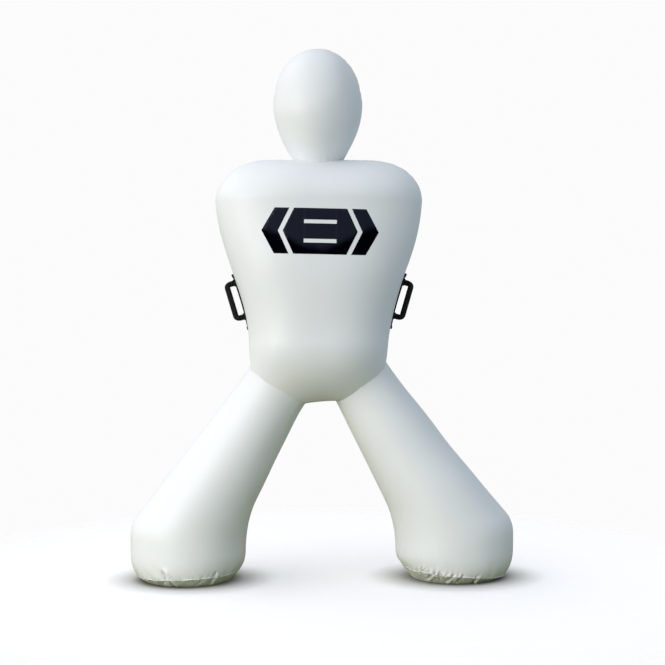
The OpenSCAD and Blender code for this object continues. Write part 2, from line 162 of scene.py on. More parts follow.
def make_object(
    name: str, points: Points, faces: list[tuple[int, ...]], merge: float = 1e-6
) -> bpy.types.Object:
    """A smooth-shaded mesh object.

    Args:
        name: the piece's name.
        points: an array of points, in any grid shape that ends in 3.
        faces: point numbers of each face.
        merge: points closer than this are joined.

    Returns:
        The object, linked to the scene, with its normals turned outwards.
    """
    mesh = bpy.data.meshes.new(name)
    mesh.from_pydata(points.reshape(-1, 3).tolist(), [], faces)
    shell = bmesh.new()
    shell.from_mesh(mesh)
    bmesh.ops.remove_doubles(shell, verts=shell.verts, dist=merge)
    bmesh.ops.dissolve_degenerate(shell, edges=shell.edges, dist=merge)
    bmesh.ops.recalc_face_normals(shell, faces=shell.faces)
    shell.to_mesh(mesh)
    shell.free()
    mesh.shade_smooth()
    piece = bpy.data.objects.new(name, mesh)
    bpy.context.scene.collection.objects.link(piece)
    return piece


def coordinates(piece: bpy.types.Object) -> Points:
    """The points of a piece's mesh."""
    return np.array([v.co for v in piece.data.vertices], float).reshape(-1, 3)


def set_coordinates(piece: bpy.types.Object, points: Points) -> None:
    """Moves the points of a piece's mesh."""
    piece.data.vertices.foreach_set("co", points.astype(np.float32).ravel())
    piece.data.update()


def face_outwards(piece: bpy.types.Object, middle: Points) -> None:
    """Turns an open panel's normals away from a point inside the dummy."""
    normals = np.array([v.normal for v in piece.data.vertices], float)
    if np.sum(normals * (coordinates(piece) - middle)) < 0:
        piece.data.flip_normals()
        piece.data.update()


def displace(piece: bpy.types.Object, fields: list[Field]) -> None:
    """Moves each point along its normal by the sum of some fields."""
    points = coordinates(piece)
    normals = np.array([v.normal for v in piece.data.vertices], float)
    amount = sum(f(points) for f in fields)
    set_coordinates(piece, points + normals * amount[:, None])


def add_mask(piece: bpy.types.Object, name: str, values: Points) -> None:
    """Stores one number per point, which the materials read as a mask."""
    layer = piece.data.attributes.new(name, "FLOAT", "POINT")
    layer.data.foreach_set("value", np.clip(values, 0, 1).astype(np.float32))


def apply_modifiers(piece: bpy.types.Object) -> None:
    """Replaces a piece's mesh by what its modifiers make of it."""
    bpy.context.view_layer.update()
    shaped = bpy.data.meshes.new_from_object(piece.evaluated_get(bpy.context.evaluated_depsgraph_get()))
    piece.modifiers.clear()
    piece.data = shaped
    shaped.shade_smooth()


def thicken(piece: bpy.types.Object, thickness: float) -> None:
    """Gives an open sheet its thickness, inwards."""
    shell = piece.modifiers.new("thickness", "SOLIDIFY")
    shell.thickness = thickness
    shell.offset = -1.0
    shell.use_even_offset = False
    apply_modifiers(piece)


def tube(name: str, rings: Points) -> bpy.types.Object:
    """A closed piece through rings of points, with a flat cap at each end.

    Args:
        name: the piece's name.
        rings: the points, as rings in order along the tube.

    Returns:
        The tube.
    """
    count, around = rings.shape[:2]
    first_cap = tuple(range(around - 1, -1, -1))
    last_cap = tuple((count - 1) * around + k for k in range(around))
    return make_object(name, rings, [*grid_faces(count, around, closed=True), first_cap, last_cap])


def hoop(name: str, path: Points, section: Points, sideways: Points) -> bpy.types.Object:
    """A section carried round a closed path.

    Args:
        name: the piece's name.
        path: points of the path, without its first point again at the end.
        section: points (a, b) of the section; a runs along sideways and b across it.
        sideways: the section's first direction at each point of the path.

    Returns:
        The hoop.
    """
    tangent = unit(np.roll(path, -1, 0) - np.roll(path, 1, 0))
    first = unit(sideways - tangent * np.sum(sideways * tangent, axis=1, keepdims=True))
    second = np.cross(tangent, first)
    rings = (
        path[:, None]
        + first[:, None] * section[None, :, 0, None]
        + second[:, None] * section[None, :, 1, None]
    )
    around = len(section)
    last = (len(path) - 1) * around
    closing = [(last + k, last + (k + 1) % around, (k + 1) % around, k) for k in range(around)]
    return make_object(name, rings, [*grid_faces(len(path), around, closed=True), *closing])


def rounded_section(width: float, height: float, power: float = 4.0, steps: int = 28) -> Points:
    """A flat oval section, squarer for a larger power."""
    turn = np.linspace(0, 2 * math.pi, steps, endpoint=False)
    across = np.sign(np.cos(turn)) * np.abs(np.cos(turn)) ** (2 / power)
    up = np.sign(np.sin(turn)) * np.abs(np.sin(turn)) ** (2 / power)
    return np.stack([across * width / 2, up * height / 2], axis=1)


def join(name: str, pieces: list[bpy.types.Object]) -> bpy.types.Object:
    """One piece out of several."""
    merged = bmesh.new()
    for piece in pieces:
        merged.from_mesh(piece.data)
    mesh = bpy.data.meshes.new(name)
    merged.to_mesh(mesh)
    merged.free()
    mesh.shade_smooth()
    for piece in pieces:
        bpy.data.objects.remove(piece)
    result = bpy.data.objects.new(name, mesh)
    bpy.context.scene.collection.objects.link(result)
    return result


def surface_tree(pieces: list[bpy.types.Object]) -> BVHTree:
    """A search tree over the surfaces of some pieces."""
    points: list[tuple[float, ...]] = []
    faces: list[list[int]] = []
    for piece in pieces:
        start = len(points)
        points += [tuple(v.co) for v in piece.data.vertices]
        faces += [[start + k for k in f.vertices] for f in piece.data.polygons]
    return BVHTree.FromPolygons(points, faces)


# ---------------------------------------------------------------------------------------------
# Fields that shape the skin
# ---------------------------------------------------------------------------------------------


@dataclass(frozen=True)
class Undulation:
    """Slow waves of a skin that isn't perfectly even."""

    height: float = 0.0008
    longest: float = 0.36
    shortest: float = 0.13
    waves: int = 14
    seed: int = 1

    def __call__(self, points: Points) -> Points:
        """The displacement at each point."""
        draw = np.random.RandomState(self.seed)
        total = np.zeros(len(points))
        for _ in range(self.waves):
            direction = draw.normal(size=3)
            direction /= np.linalg.norm(direction)
            length = draw.uniform(self.shortest, self.longest)
            total += np.sin(points @ direction * 2 * math.pi / length + draw.uniform(0, 2 * math.pi))
        return total * self.height / math.sqrt(self.waves / 2)


class SeamLine:
    """A weld seam as a dense line of points, with the distance along it."""

    def __init__(self, points: Points, closed: bool) -> None:
        """Measures the line and builds its search tree.

        Args:
            points: the seam's points in order.
            closed: whether it runs round in a ring.
        """
        self.points = points
        self.closed = closed
        steps = np.linalg.norm(np.diff(points, axis=0), axis=1)
        self.along = np.concatenate([[0.0], np.cumsum(steps)])
        self.length = float(self.along[-1])
        self.tree = KDTree(len(points))
        for index, point in enumerate(points):
            self.tree.insert(point, index)
        self.tree.balance()

    def locate(self, points: Points) -> tuple[Points, Points]:
        """Distance from the seam and place along it.

        Args:
            points: the points to locate.

        Returns:
            The distance from the seam and the distance along it, one of each per point.
        """
        found = [self.tree.find(p) for p in points]
        away = np.array([f[2] for f in found])
        place = self.along[np.array([f[1] for f in found])]
        return away, place


@dataclass
class Puckers:
    """Small creases that run into a weld seam, with the skin standing up between them."""

    seam: SeamLine
    depth: float = 0.002
    reach: tuple[float, float] = (0.012, 0.045)
    width: tuple[float, float] = (0.003, 0.009)
    spacing: float = 0.022
    slant: float = 0.5
    swell: float = 0.25
    weight: Callable[[Points], Points] | None = None
    seed: int = 3

    def __call__(self, points: Points) -> Points:
        """The displacement at each point."""
        away, place = self.seam.locate(points)
        total = np.zeros(len(points))
        near = np.flatnonzero(away < 3.2 * self.reach[1])
        draw = np.random.RandomState(self.seed)
        count = max(1, round(self.seam.length / self.spacing))
        for index in range(count):
            middle = (index + draw.uniform(-0.4, 0.4)) * self.seam.length / count
            reach = draw.uniform(*self.reach)
            width = draw.uniform(*self.width)
            depth = self.depth * draw.uniform(0.25, 1.0)
            slant = draw.uniform(-self.slant, self.slant)
            across = place[near] - middle - slant * away[near]
            if self.seam.closed:
                across = (across + self.seam.length / 2) % self.seam.length - self.seam.length / 2
            fade = np.exp(-((away[near] / reach) ** 1.6))
            total[near] -= depth * fade * np.exp(-(np.abs(across / width) ** 1.4))
            total[near] += depth * self.swell * fade * np.exp(-((across / (2.6 * width)) ** 2))
        if self.weight is not None:
            total *= self.weight(points)
        return total


@dataclass
class Pinch:
    """The skin drawn in towards a weld seam."""

    seam: SeamLine
    depth: float = 0.003
    reach: float = 0.014

    def __call__(self, points: Points) -> Points:
        """The displacement at each point."""
        away, _ = self.seam.locate(points)
        return -self.depth * np.exp(-away / self.reach)


@dataclass
class Fillet:
    """Skins that swell towards the seam between them, so that they meet softly except at the sides."""

    seam: SeamLine
    height: float
    reach: float
    full_depth: float = 0.075

    def __call__(self, points: Points) -> Points:
        """The displacement at each point."""
        away, _ = self.seam.locate(points)
        share = between(np.abs(points[:, 1]), 0, self.full_depth)
        return self.height * share * np.exp(-away / self.reach)


@dataclass(frozen=True)
class Dent:
    """A short pucker that draws the skin in where it crosses a seam."""

    place: Points
    width: float
    depth: float


DENT_WIDTHS = (0.005, 0.010)
DENT_DEPTHS = (0.004, 0.0085)
DENT_SPACINGS = (0.013, 0.032)
FAINTEST_DENT = 0.1


def seam_dents(seam: SeamLine, strength: Callable[[Points], float], seed: int) -> list[Dent]:
    """Dents at uneven spacing along a seam.

    Args:
        seam: the line that they cross.
        strength: share of the full depth at a point of the seam; the faintest ones are left out.
        seed: start of the random series.

    Returns:
        The dents.
    """
    rng = np.random.default_rng(seed)
    step = float(np.linalg.norm(seam.points[1] - seam.points[0]))
    dents = []
    k = 0
    while k < len(seam.points):
        share = strength(seam.points[k])
        if share > FAINTEST_DENT:
            width = rng.uniform(*DENT_WIDTHS)
            dents.append(Dent(seam.points[k], width, share * rng.uniform(*DENT_DEPTHS)))
        k += max(1, int(rng.uniform(*DENT_SPACINGS) / step))
    return dents


def dented(points: Points, dents: list[Dent], middle: Points, stretch: float = 2.6) -> Points:
    """Draws points in towards a middle at each dent, further front to back than along the seam."""
    result = points.copy()
    for dent in dents:
        away = (points - dent.place) / (dent.width * np.array([1.0, stretch, 1.0]))
        inward = middle - dent.place
        inward /= np.linalg.norm(inward)
        result += dent.depth * np.exp(-np.sum(away**2, axis=-1))[..., None] * inward
    return result


@dataclass(frozen=True)
class Fold:
    """One long crease between two points, with a raised lip beside it."""

    start: tuple[float, float, float]
    end: tuple[float, float, float]
    depth: float = 0.005
    width: float = 0.007
    lip: float = 0.6

    def __call__(self, points: Points) -> Points:
        """The displacement at each point."""
        start, end = np.array(self.start), np.array(self.end)
        line = end - start
        length = np.linalg.norm(line)
        along = (points - start) @ line / length**2
        rest = points - start - np.clip(along, 0, 1)[:, None] * line
        sideways = np.cross(line / length, [0.0, 1.0, 0.0])
        across = rest @ sideways
        ends = np.exp(-(np.maximum(0, np.abs(along - 0.5) - 0.35) / 0.2) ** 2)
        facing = np.exp(-(np.linalg.norm(rest, axis=1) / 0.05) ** 4)
        valley = np.exp(-((across / self.width) ** 2))
        ridge = np.exp(-(((across - 1.9 * self.width) / (1.2 * self.width)) ** 2))
        return self.depth * ends * facing * (self.lip * ridge - valley)


# ---------------------------------------------------------------------------------------------
# Finishes
# ---------------------------------------------------------------------------------------------


class Nodes:
    """A short way to place and wire shader nodes in one tree."""

    def __init__(self, tree: bpy.types.NodeTree) -> None:
        """Keeps the tree that nodes go into."""
        self.tree = tree

    def add(
        self, kind: str, inputs: dict[str | int, object] | None = None, **settings: object
    ) -> bpy.types.Node:
        """Adds a node.

        Args:
            kind: the node's type name.
            inputs: socket name or number to a value or to the output socket that feeds it.
            settings: the node's own properties.

        Returns:
            The new node.
        """
        node = self.tree.nodes.new(kind)
        for name, value in settings.items():
            setattr(node, name, value)
        for name, value in (inputs or {}).items():
            self.feed(node.inputs[name], value)
        return node

    def feed(self, socket: bpy.types.NodeSocket, value: object) -> None:
        """Links a socket to an output, or sets it to a plain value."""
        if isinstance(value, bpy.types.NodeSocket):
            self.tree.links.new(value, socket)
        else:
            socket.default_value = value

    def math(
        self, operation: str, first: object, second: object = 0.0, clamp: bool = False
    ) -> bpy.types.NodeSocket:
        """The result of a math node."""
        inputs = {0: first, 1: second}
        return self.add("ShaderNodeMath", inputs, operation=operation, use_clamp=clamp).outputs[0]

    def mix(self, share: object, first: object, second: object) -> bpy.types.NodeSocket:
        """A colour between two colours."""
        node = self.add("ShaderNodeMix", data_type="RGBA")
        for number, value in ((0, share), (6, first), (7, second)):
            self.feed(node.inputs[number], value)
        return node.outputs[2]

    def ramp(self, value: object, low: float, high: float) -> bpy.types.NodeSocket:
        """A value stretched so that low becomes 0 and high becomes 1."""
        inputs = {"Value": value, "From Min": low, "From Max": high}
        return self.add("ShaderNodeMapRange", inputs, clamp=True).outputs[0]


def new_group(name: str, inputs: dict[str, float], output: str) -> tuple[bpy.types.NodeTree, Nodes]:
    """An empty shader node group with named sockets, of which the first takes the position.

    Args:
        name: the group's name.
        inputs: socket name to its default number.
        output: name of the number that the group gives.

    Returns:
        The group and a helper that places nodes in it.
    """
    group = bpy.data.node_groups.new(name, "ShaderNodeTree")
    group.interface.new_socket(name="Position", in_out="INPUT", socket_type="NodeSocketVector")
    for label, value in inputs.items():
        socket = group.interface.new_socket(name=label, in_out="INPUT", socket_type="NodeSocketFloat")
        socket.default_value = value
    group.interface.new_socket(name=output, in_out="OUTPUT", socket_type="NodeSocketFloat")
    return group, Nodes(group)


def scrim_group() -> bpy.types.NodeTree:
    """The faint grid of threads that shows through coated fabric, as a height."""
    group, nodes = new_group("scrim_threads", {"Pitch": 0.0016, "Unevenness": 0.3}, "Height")
    source = nodes.add("NodeGroupInput")
    axes = nodes.add("ShaderNodeSeparateXYZ", {0: source.outputs["Position"]})
    waves = []
    for axis in axes.outputs:
        turns = nodes.math("DIVIDE", axis, source.outputs["Pitch"])
        waves.append(nodes.math("SINE", nodes.math("MULTIPLY", turns, 2 * math.pi)))
    crossings = [nodes.math("MULTIPLY", waves[level], waves[2]) for level in (0, 1)]
    threads = nodes.math("ADD", *crossings)
    speckle = {"Vector": source.outputs["Position"], "Scale": 220.0, "Detail": 3.0}
    cloud = nodes.add("ShaderNodeTexNoise", speckle)
    uneven = nodes.math("MULTIPLY", cloud.outputs["Fac"], source.outputs["Unevenness"])
    height = nodes.math("ADD", nodes.math("MULTIPLY", threads, 0.25), uneven)
    nodes.add("NodeGroupOutput", {"Height": height})
    return group


def blotch_group() -> bpy.types.NodeTree:
    """Soft uneven patches, as a mask."""
    group, nodes = new_group("soft_patches", {"Scale": 4.0, "Contrast": 0.2}, "Mask")
    source = nodes.add("NodeGroupInput")
    patch = {
        "Vector": source.outputs["Position"],
        "Scale": source.outputs["Scale"],
        "Detail": 5.0,
        "Roughness": 0.55,
    }
    cloud = nodes.add("ShaderNodeTexNoise", patch)
    low = nodes.math("SUBTRACT", 0.5, source.outputs["Contrast"])
    high = nodes.math("ADD", 0.5, source.outputs["Contrast"])
    nodes.add("NodeGroupOutput", {"Mask": nodes.ramp(cloud.outputs["Fac"], low, high)})
    return group


def scuff_group() -> bpy.types.NodeTree:
    """Fine crossing scratches, as a mask."""
    group, nodes = new_group("fine_scuffs", {"Scale": 30.0}, "Mask")
    source = nodes.add("NodeGroupInput")
    stretch = (1.0, 14.0, 1.0)
    masks = []
    for turn in (0.4, 1.9):
        way = {"Vector": source.outputs["Position"], "Rotation": (turn, 0.6 * turn, turn), "Scale": stretch}
        turned = nodes.add("ShaderNodeMapping", way).outputs[0]
        streaks = {"Vector": turned, "Scale": source.outputs["Scale"], "Detail": 2.0}
        masks.append(nodes.ramp(nodes.add("ShaderNodeTexNoise", streaks).outputs["Fac"], 0.66, 0.74))
    nodes.add("NodeGroupOutput", {"Mask": nodes.math("MAXIMUM", *masks)})
    return group


@dataclass
class SharedEffects:
    """The node groups that several finishes use, built once."""

    scrim: bpy.types.NodeTree = field(default_factory=scrim_group)
    blotch: bpy.types.NodeTree = field(default_factory=blotch_group)
    scuff: bpy.types.NodeTree = field(default_factory=scuff_group)

    @staticmethod
    def place(
        nodes: Nodes, group: bpy.types.NodeTree, position: bpy.types.NodeSocket, **values: float
    ) -> bpy.types.NodeSocket:
        """Places a group in a material.

        Args:
            nodes: the material's node helper.
            group: the group to place.
            position: the socket that gives the place on the object.
            values: values of the group's inputs, by socket name.

        Returns:
            The group's output.
        """
        inputs: dict[str | int, object] = {"Position": position, **values}
        return nodes.add("ShaderNodeGroup", inputs, node_tree=group).outputs[0]


def start_material(name: str) -> tuple[bpy.types.Material, Nodes, bpy.types.Node, bpy.types.NodeSocket]:
    """An empty principled material.

    Args:
        name: the material's name.

    Returns:
        The material, its node helper, its shader and the position on the object.
    """
    material = bpy.data.materials.new(name)
    material.use_nodes = True
    nodes = Nodes(material.node_tree)
    shader = material.node_tree.nodes["Principled BSDF"]
    position = nodes.add("ShaderNodeTexCoord").outputs["Object"]
    return material, nodes, shader, position


def add_bump(
    nodes: Nodes, shader: bpy.types.Node, height: bpy.types.NodeSocket, distance: float, strength: float
) -> None:
    """Feeds a height to a shader's normal."""
    bump = nodes.add("ShaderNodeBump", {"Height": height, "Distance": distance, "Strength": strength})
    nodes.feed(shader.inputs["Normal"], bump.outputs[0])


@dataclass(frozen=True)
class CoatedFabric:
    """Glossy white PVC-coated fabric with faint threads, soft patches, glossier welds, and soiling mixed with
    painted shade low down.
    """

    name: str
    colour: Colour = (0.80, 0.81, 0.81, 1.0)
    patch_colour: Colour = (0.765, 0.778, 0.785, 1.0)
    # Olive colour and strength near the floor: partly soiling, partly painted shade.
    grime_colour: Colour = (0.42, 0.43, 0.36, 1.0)
    grime: float = 0.35
    roughness: float = 0.46
    coat: float = 0.08

    def make(self, effects: SharedEffects) -> bpy.types.Material:
        """The material, built from the shared effects."""
        material, nodes, shader, position = start_material(self.name)
        patches = effects.place(nodes, effects.blotch, position, Scale=3.5, Contrast=0.25)
        base = nodes.mix(patches, self.colour, self.patch_colour)
        weld = nodes.add("ShaderNodeAttribute", attribute_name="weld").outputs["Fac"]
        # Painted shade mixed with soiling: the skin turns olive in patches near the floor, by a per-point
        # mask.
        low = nodes.add("ShaderNodeAttribute", attribute_name="grime").outputs["Fac"]
        spots = effects.place(nodes, effects.blotch, position, Scale=24.0, Contrast=0.12)
        soil_and_shade_amount = nodes.math("MULTIPLY", nodes.math("MULTIPLY", low, spots), self.grime, clamp=True)
        colour = nodes.mix(soil_and_shade_amount, base, self.grime_colour)
        scuffs = effects.place(nodes, effects.scuff, position, Scale=26.0)
        rough = nodes.math("ADD", nodes.math("MULTIPLY", patches, 0.05), self.roughness)
        rough = nodes.math("ADD", rough, nodes.math("MULTIPLY", scuffs, 0.07))
        rough = nodes.math("SUBTRACT", rough, nodes.math("MULTIPLY", weld, 0.08), clamp=True)
        threads = effects.place(nodes, effects.scrim, position, Pitch=0.0022, Unevenness=0.5)
        nodes.feed(shader.inputs["Base Color"], colour)
        nodes.feed(shader.inputs["Roughness"], rough)
        shader.inputs["Coat Weight"].default_value = self.coat
        shader.inputs["Coat Roughness"].default_value = 0.22
        shader.inputs["Sheen Weight"].default_value = 0.05
        add_bump(nodes, shader, threads, 0.0002, 0.35)
        return material


@dataclass(frozen=True)
class Webbing:
    """Black woven strap: ribs across, threads along, faded a little on its raised threads."""

    name: str
    colour: Colour = (0.0022, 0.0022, 0.0026, 1.0)
    worn: Colour = (0.012, 0.012, 0.013, 1.0)
    rib: float = 0.0019
    roughness: float = 0.62

    def make(self, effects: SharedEffects) -> bpy.types.Material:
        """The material, built from the shared effects."""
        material, nodes, shader, position = start_material(self.name)
        way = nodes.add("ShaderNodeUVMap", uv_map="along").outputs[0]
        axes = nodes.add("ShaderNodeSeparateXYZ", {0: way})
        along = nodes.math("MULTIPLY", axes.outputs[0], 2 * math.pi / self.rib)
        across = nodes.math("MULTIPLY", axes.outputs[1], math.pi / self.rib)
        shift = nodes.math("MULTIPLY", nodes.math("SINE", across), 1.4)
        ribs = nodes.math("SINE", nodes.math("ADD", along, shift))
        threads = nodes.math("ABSOLUTE", nodes.math("COSINE", across))
        height = nodes.math("ADD", nodes.math("MULTIPLY", ribs, 0.5), threads)
        fuzz = effects.place(nodes, effects.scrim, position, Pitch=0.0007, Unevenness=0.8)
        height = nodes.math("ADD", height, nodes.math("MULTIPLY", fuzz, 0.5))
        patches = effects.place(nodes, effects.blotch, position, Scale=45.0, Contrast=0.2)
        raised = nodes.math("MULTIPLY", nodes.ramp(height, 0.4, 1.5), patches)
        nodes.feed(shader.inputs["Base Color"], nodes.mix(raised, self.colour, self.worn))
        rough = nodes.math("ADD", nodes.math("MULTIPLY", raised, -0.12), self.roughness)
        nodes.feed(shader.inputs["Roughness"], rough)
        shader.inputs["Specular IOR Level"].default_value = 0.22
        add_bump(nodes, shader, height, 0.0006, 0.9)
        return material


@dataclass(frozen=True)
class PlainFinish:
    """Moulded plastic, rubber, wire or thread: a colour with patches, scuffs and a fine grain."""

    name: str
    colour: Colour
    other: Colour
    roughness: float = 0.4
    metallic: float = 0.0
    grain: float = 0.0001
    grain_strength: float = 0.3

    def make(self, effects: SharedEffects) -> bpy.types.Material:
        """The material, built from the shared effects."""
        material, nodes, shader, position = start_material(self.name)
        patches = effects.place(nodes, effects.blotch, position, Scale=30.0, Contrast=0.22)
        scuffs = effects.place(nodes, effects.scuff, position, Scale=60.0)
        share = nodes.math("ADD", patches, nodes.math("MULTIPLY", scuffs, 0.5), clamp=True)
        nodes.feed(shader.inputs["Base Color"], nodes.mix(share, self.colour, self.other))
        rough = nodes.math("ADD", nodes.math("MULTIPLY", share, 0.12), self.roughness)
        nodes.feed(shader.inputs["Roughness"], rough)
        shader.inputs["Metallic"].default_value = self.metallic
        grain = effects.place(nodes, effects.scrim, position, Pitch=0.0009, Unevenness=1.0)
        add_bump(nodes, shader, grain, self.grain, self.grain_strength)
        return material


@dataclass(frozen=True)
class PrintedFilm:
    """Dark glossy film with a painted reflection: lighter on its upper middle, falling to black towards its
    lower corners.
    """

    name: str
    # The lighter colour above is a painted reflection; the colour below is the film's own near-black.
    shine: Colour = (0.0075, 0.0095, 0.0185, 1.0)
    deep: Colour = (0.0007, 0.0008, 0.0020, 1.0)
    turn_height: float = 1.098
    corner_rise: float = 0.42
    turn_half: float = 0.012
    coat: float = 0.2
    roughness: float = 0.16

    def make(self, effects: SharedEffects) -> bpy.types.Material:
        """The material, built from the shared effects."""
        material, nodes, shader, position = start_material(self.name)
        axes = nodes.add("ShaderNodeSeparateXYZ", {0: position})
        waves = effects.place(nodes, effects.blotch, position, Scale=16.0, Contrast=0.4)
        # Painted reflection: above a line that rises towards the corners, the film turns lighter and gets its
        # coat.
        turn = nodes.math("MULTIPLY", nodes.math("ABSOLUTE", axes.outputs[0]), self.corner_rise)
        turn = nodes.math("ADD", turn, nodes.math("MULTIPLY", waves, 0.03))
        above = nodes.math("SUBTRACT", nodes.math("SUBTRACT", axes.outputs[2], self.turn_height), turn)
        share = nodes.ramp(above, -self.turn_half, self.turn_half)
        nodes.feed(shader.inputs["Base Color"], nodes.mix(share, self.deep, self.shine))
        nodes.feed(shader.inputs["Coat Weight"], nodes.math("MULTIPLY", share, self.coat))
        scuffs = effects.place(nodes, effects.scuff, position, Scale=60.0)
        rough = nodes.math("ADD", nodes.math("MULTIPLY", scuffs, 0.1), self.roughness)
        nodes.feed(shader.inputs["Roughness"], rough)
        shader.inputs["Specular IOR Level"].default_value = 0.0
        shader.inputs["Coat Roughness"].default_value = 0.12
        grain = effects.place(nodes, effects.scrim, position, Pitch=0.0009, Unevenness=1.0)
        add_bump(nodes, shader, grain, 0.00002, 0.3)
        return material


@dataclass
class Wardrobe:
    """Every finish of the dummy, as a ready material."""

    effects: SharedEffects = field(default_factory=SharedEffects)

    def __post_init__(self) -> None:
        """Builds the materials."""
        self.skin = CoatedFabric("white_coated_fabric").make(self.effects)
        # The sole is a darker, greener copy of the skin with heavier soiling: partly soiling, partly painted
        # shade.
        self.sole = CoatedFabric(
            "sole_coated_fabric",
            colour=(0.74, 0.75, 0.71, 1.0),
            patch_colour=(0.68, 0.69, 0.64, 1.0),
            grime=0.7,
            roughness=0.42,
            coat=0.1,
        ).make(self.effects)
        self.webbing = Webbing("black_webbing").make(self.effects)
        self.thread = PlainFinish(
            "stitching_thread", (0.03, 0.03, 0.034, 1.0), (0.06, 0.06, 0.065, 1.0), roughness=0.6
        ).make(self.effects)
        self.film = PrintedFilm("dark_film").make(self.effects)
        self.pale_plastic = PlainFinish(
            "pale_plastic", (0.62, 0.63, 0.63, 1.0), (0.54, 0.55, 0.55, 1.0), roughness=0.42
        ).make(self.effects)
        self.dark_plastic = PlainFinish(
            "dark_plastic", (0.014, 0.015, 0.017, 1.0), (0.03, 0.031, 0.034, 1.0), roughness=0.36
        ).make(self.effects)
        self.rubber = PlainFinish(
            "soft_rubber", (0.02, 0.02, 0.021, 1.0), (0.045, 0.045, 0.046, 1.0), roughness=0.7
        ).make(self.effects)
        self.wire = PlainFinish(
            "spring_wire", (0.62, 0.62, 0.63, 1.0), (0.5, 0.5, 0.52, 1.0), roughness=0.25, metallic=1.0
        ).make(self.effects)


def dress(piece: bpy.types.Object, material: bpy.types.Material) -> None:
    """Gives a piece its material."""
    piece.data.materials.clear()
    piece.data.materials.append(material)


# ---------------------------------------------------------------------------------------------
# Torso
# ---------------------------------------------------------------------------------------------


def oval_depth(x: Points, half_width: Points, half_depth: Points, power: float) -> Points:
    """Depth of a rounded section at a distance x from its middle."""
    share = between(np.abs(x), 0, half_width)
    return half_depth * np.clip(1 - share**power, 0, 1) ** (1 / power)


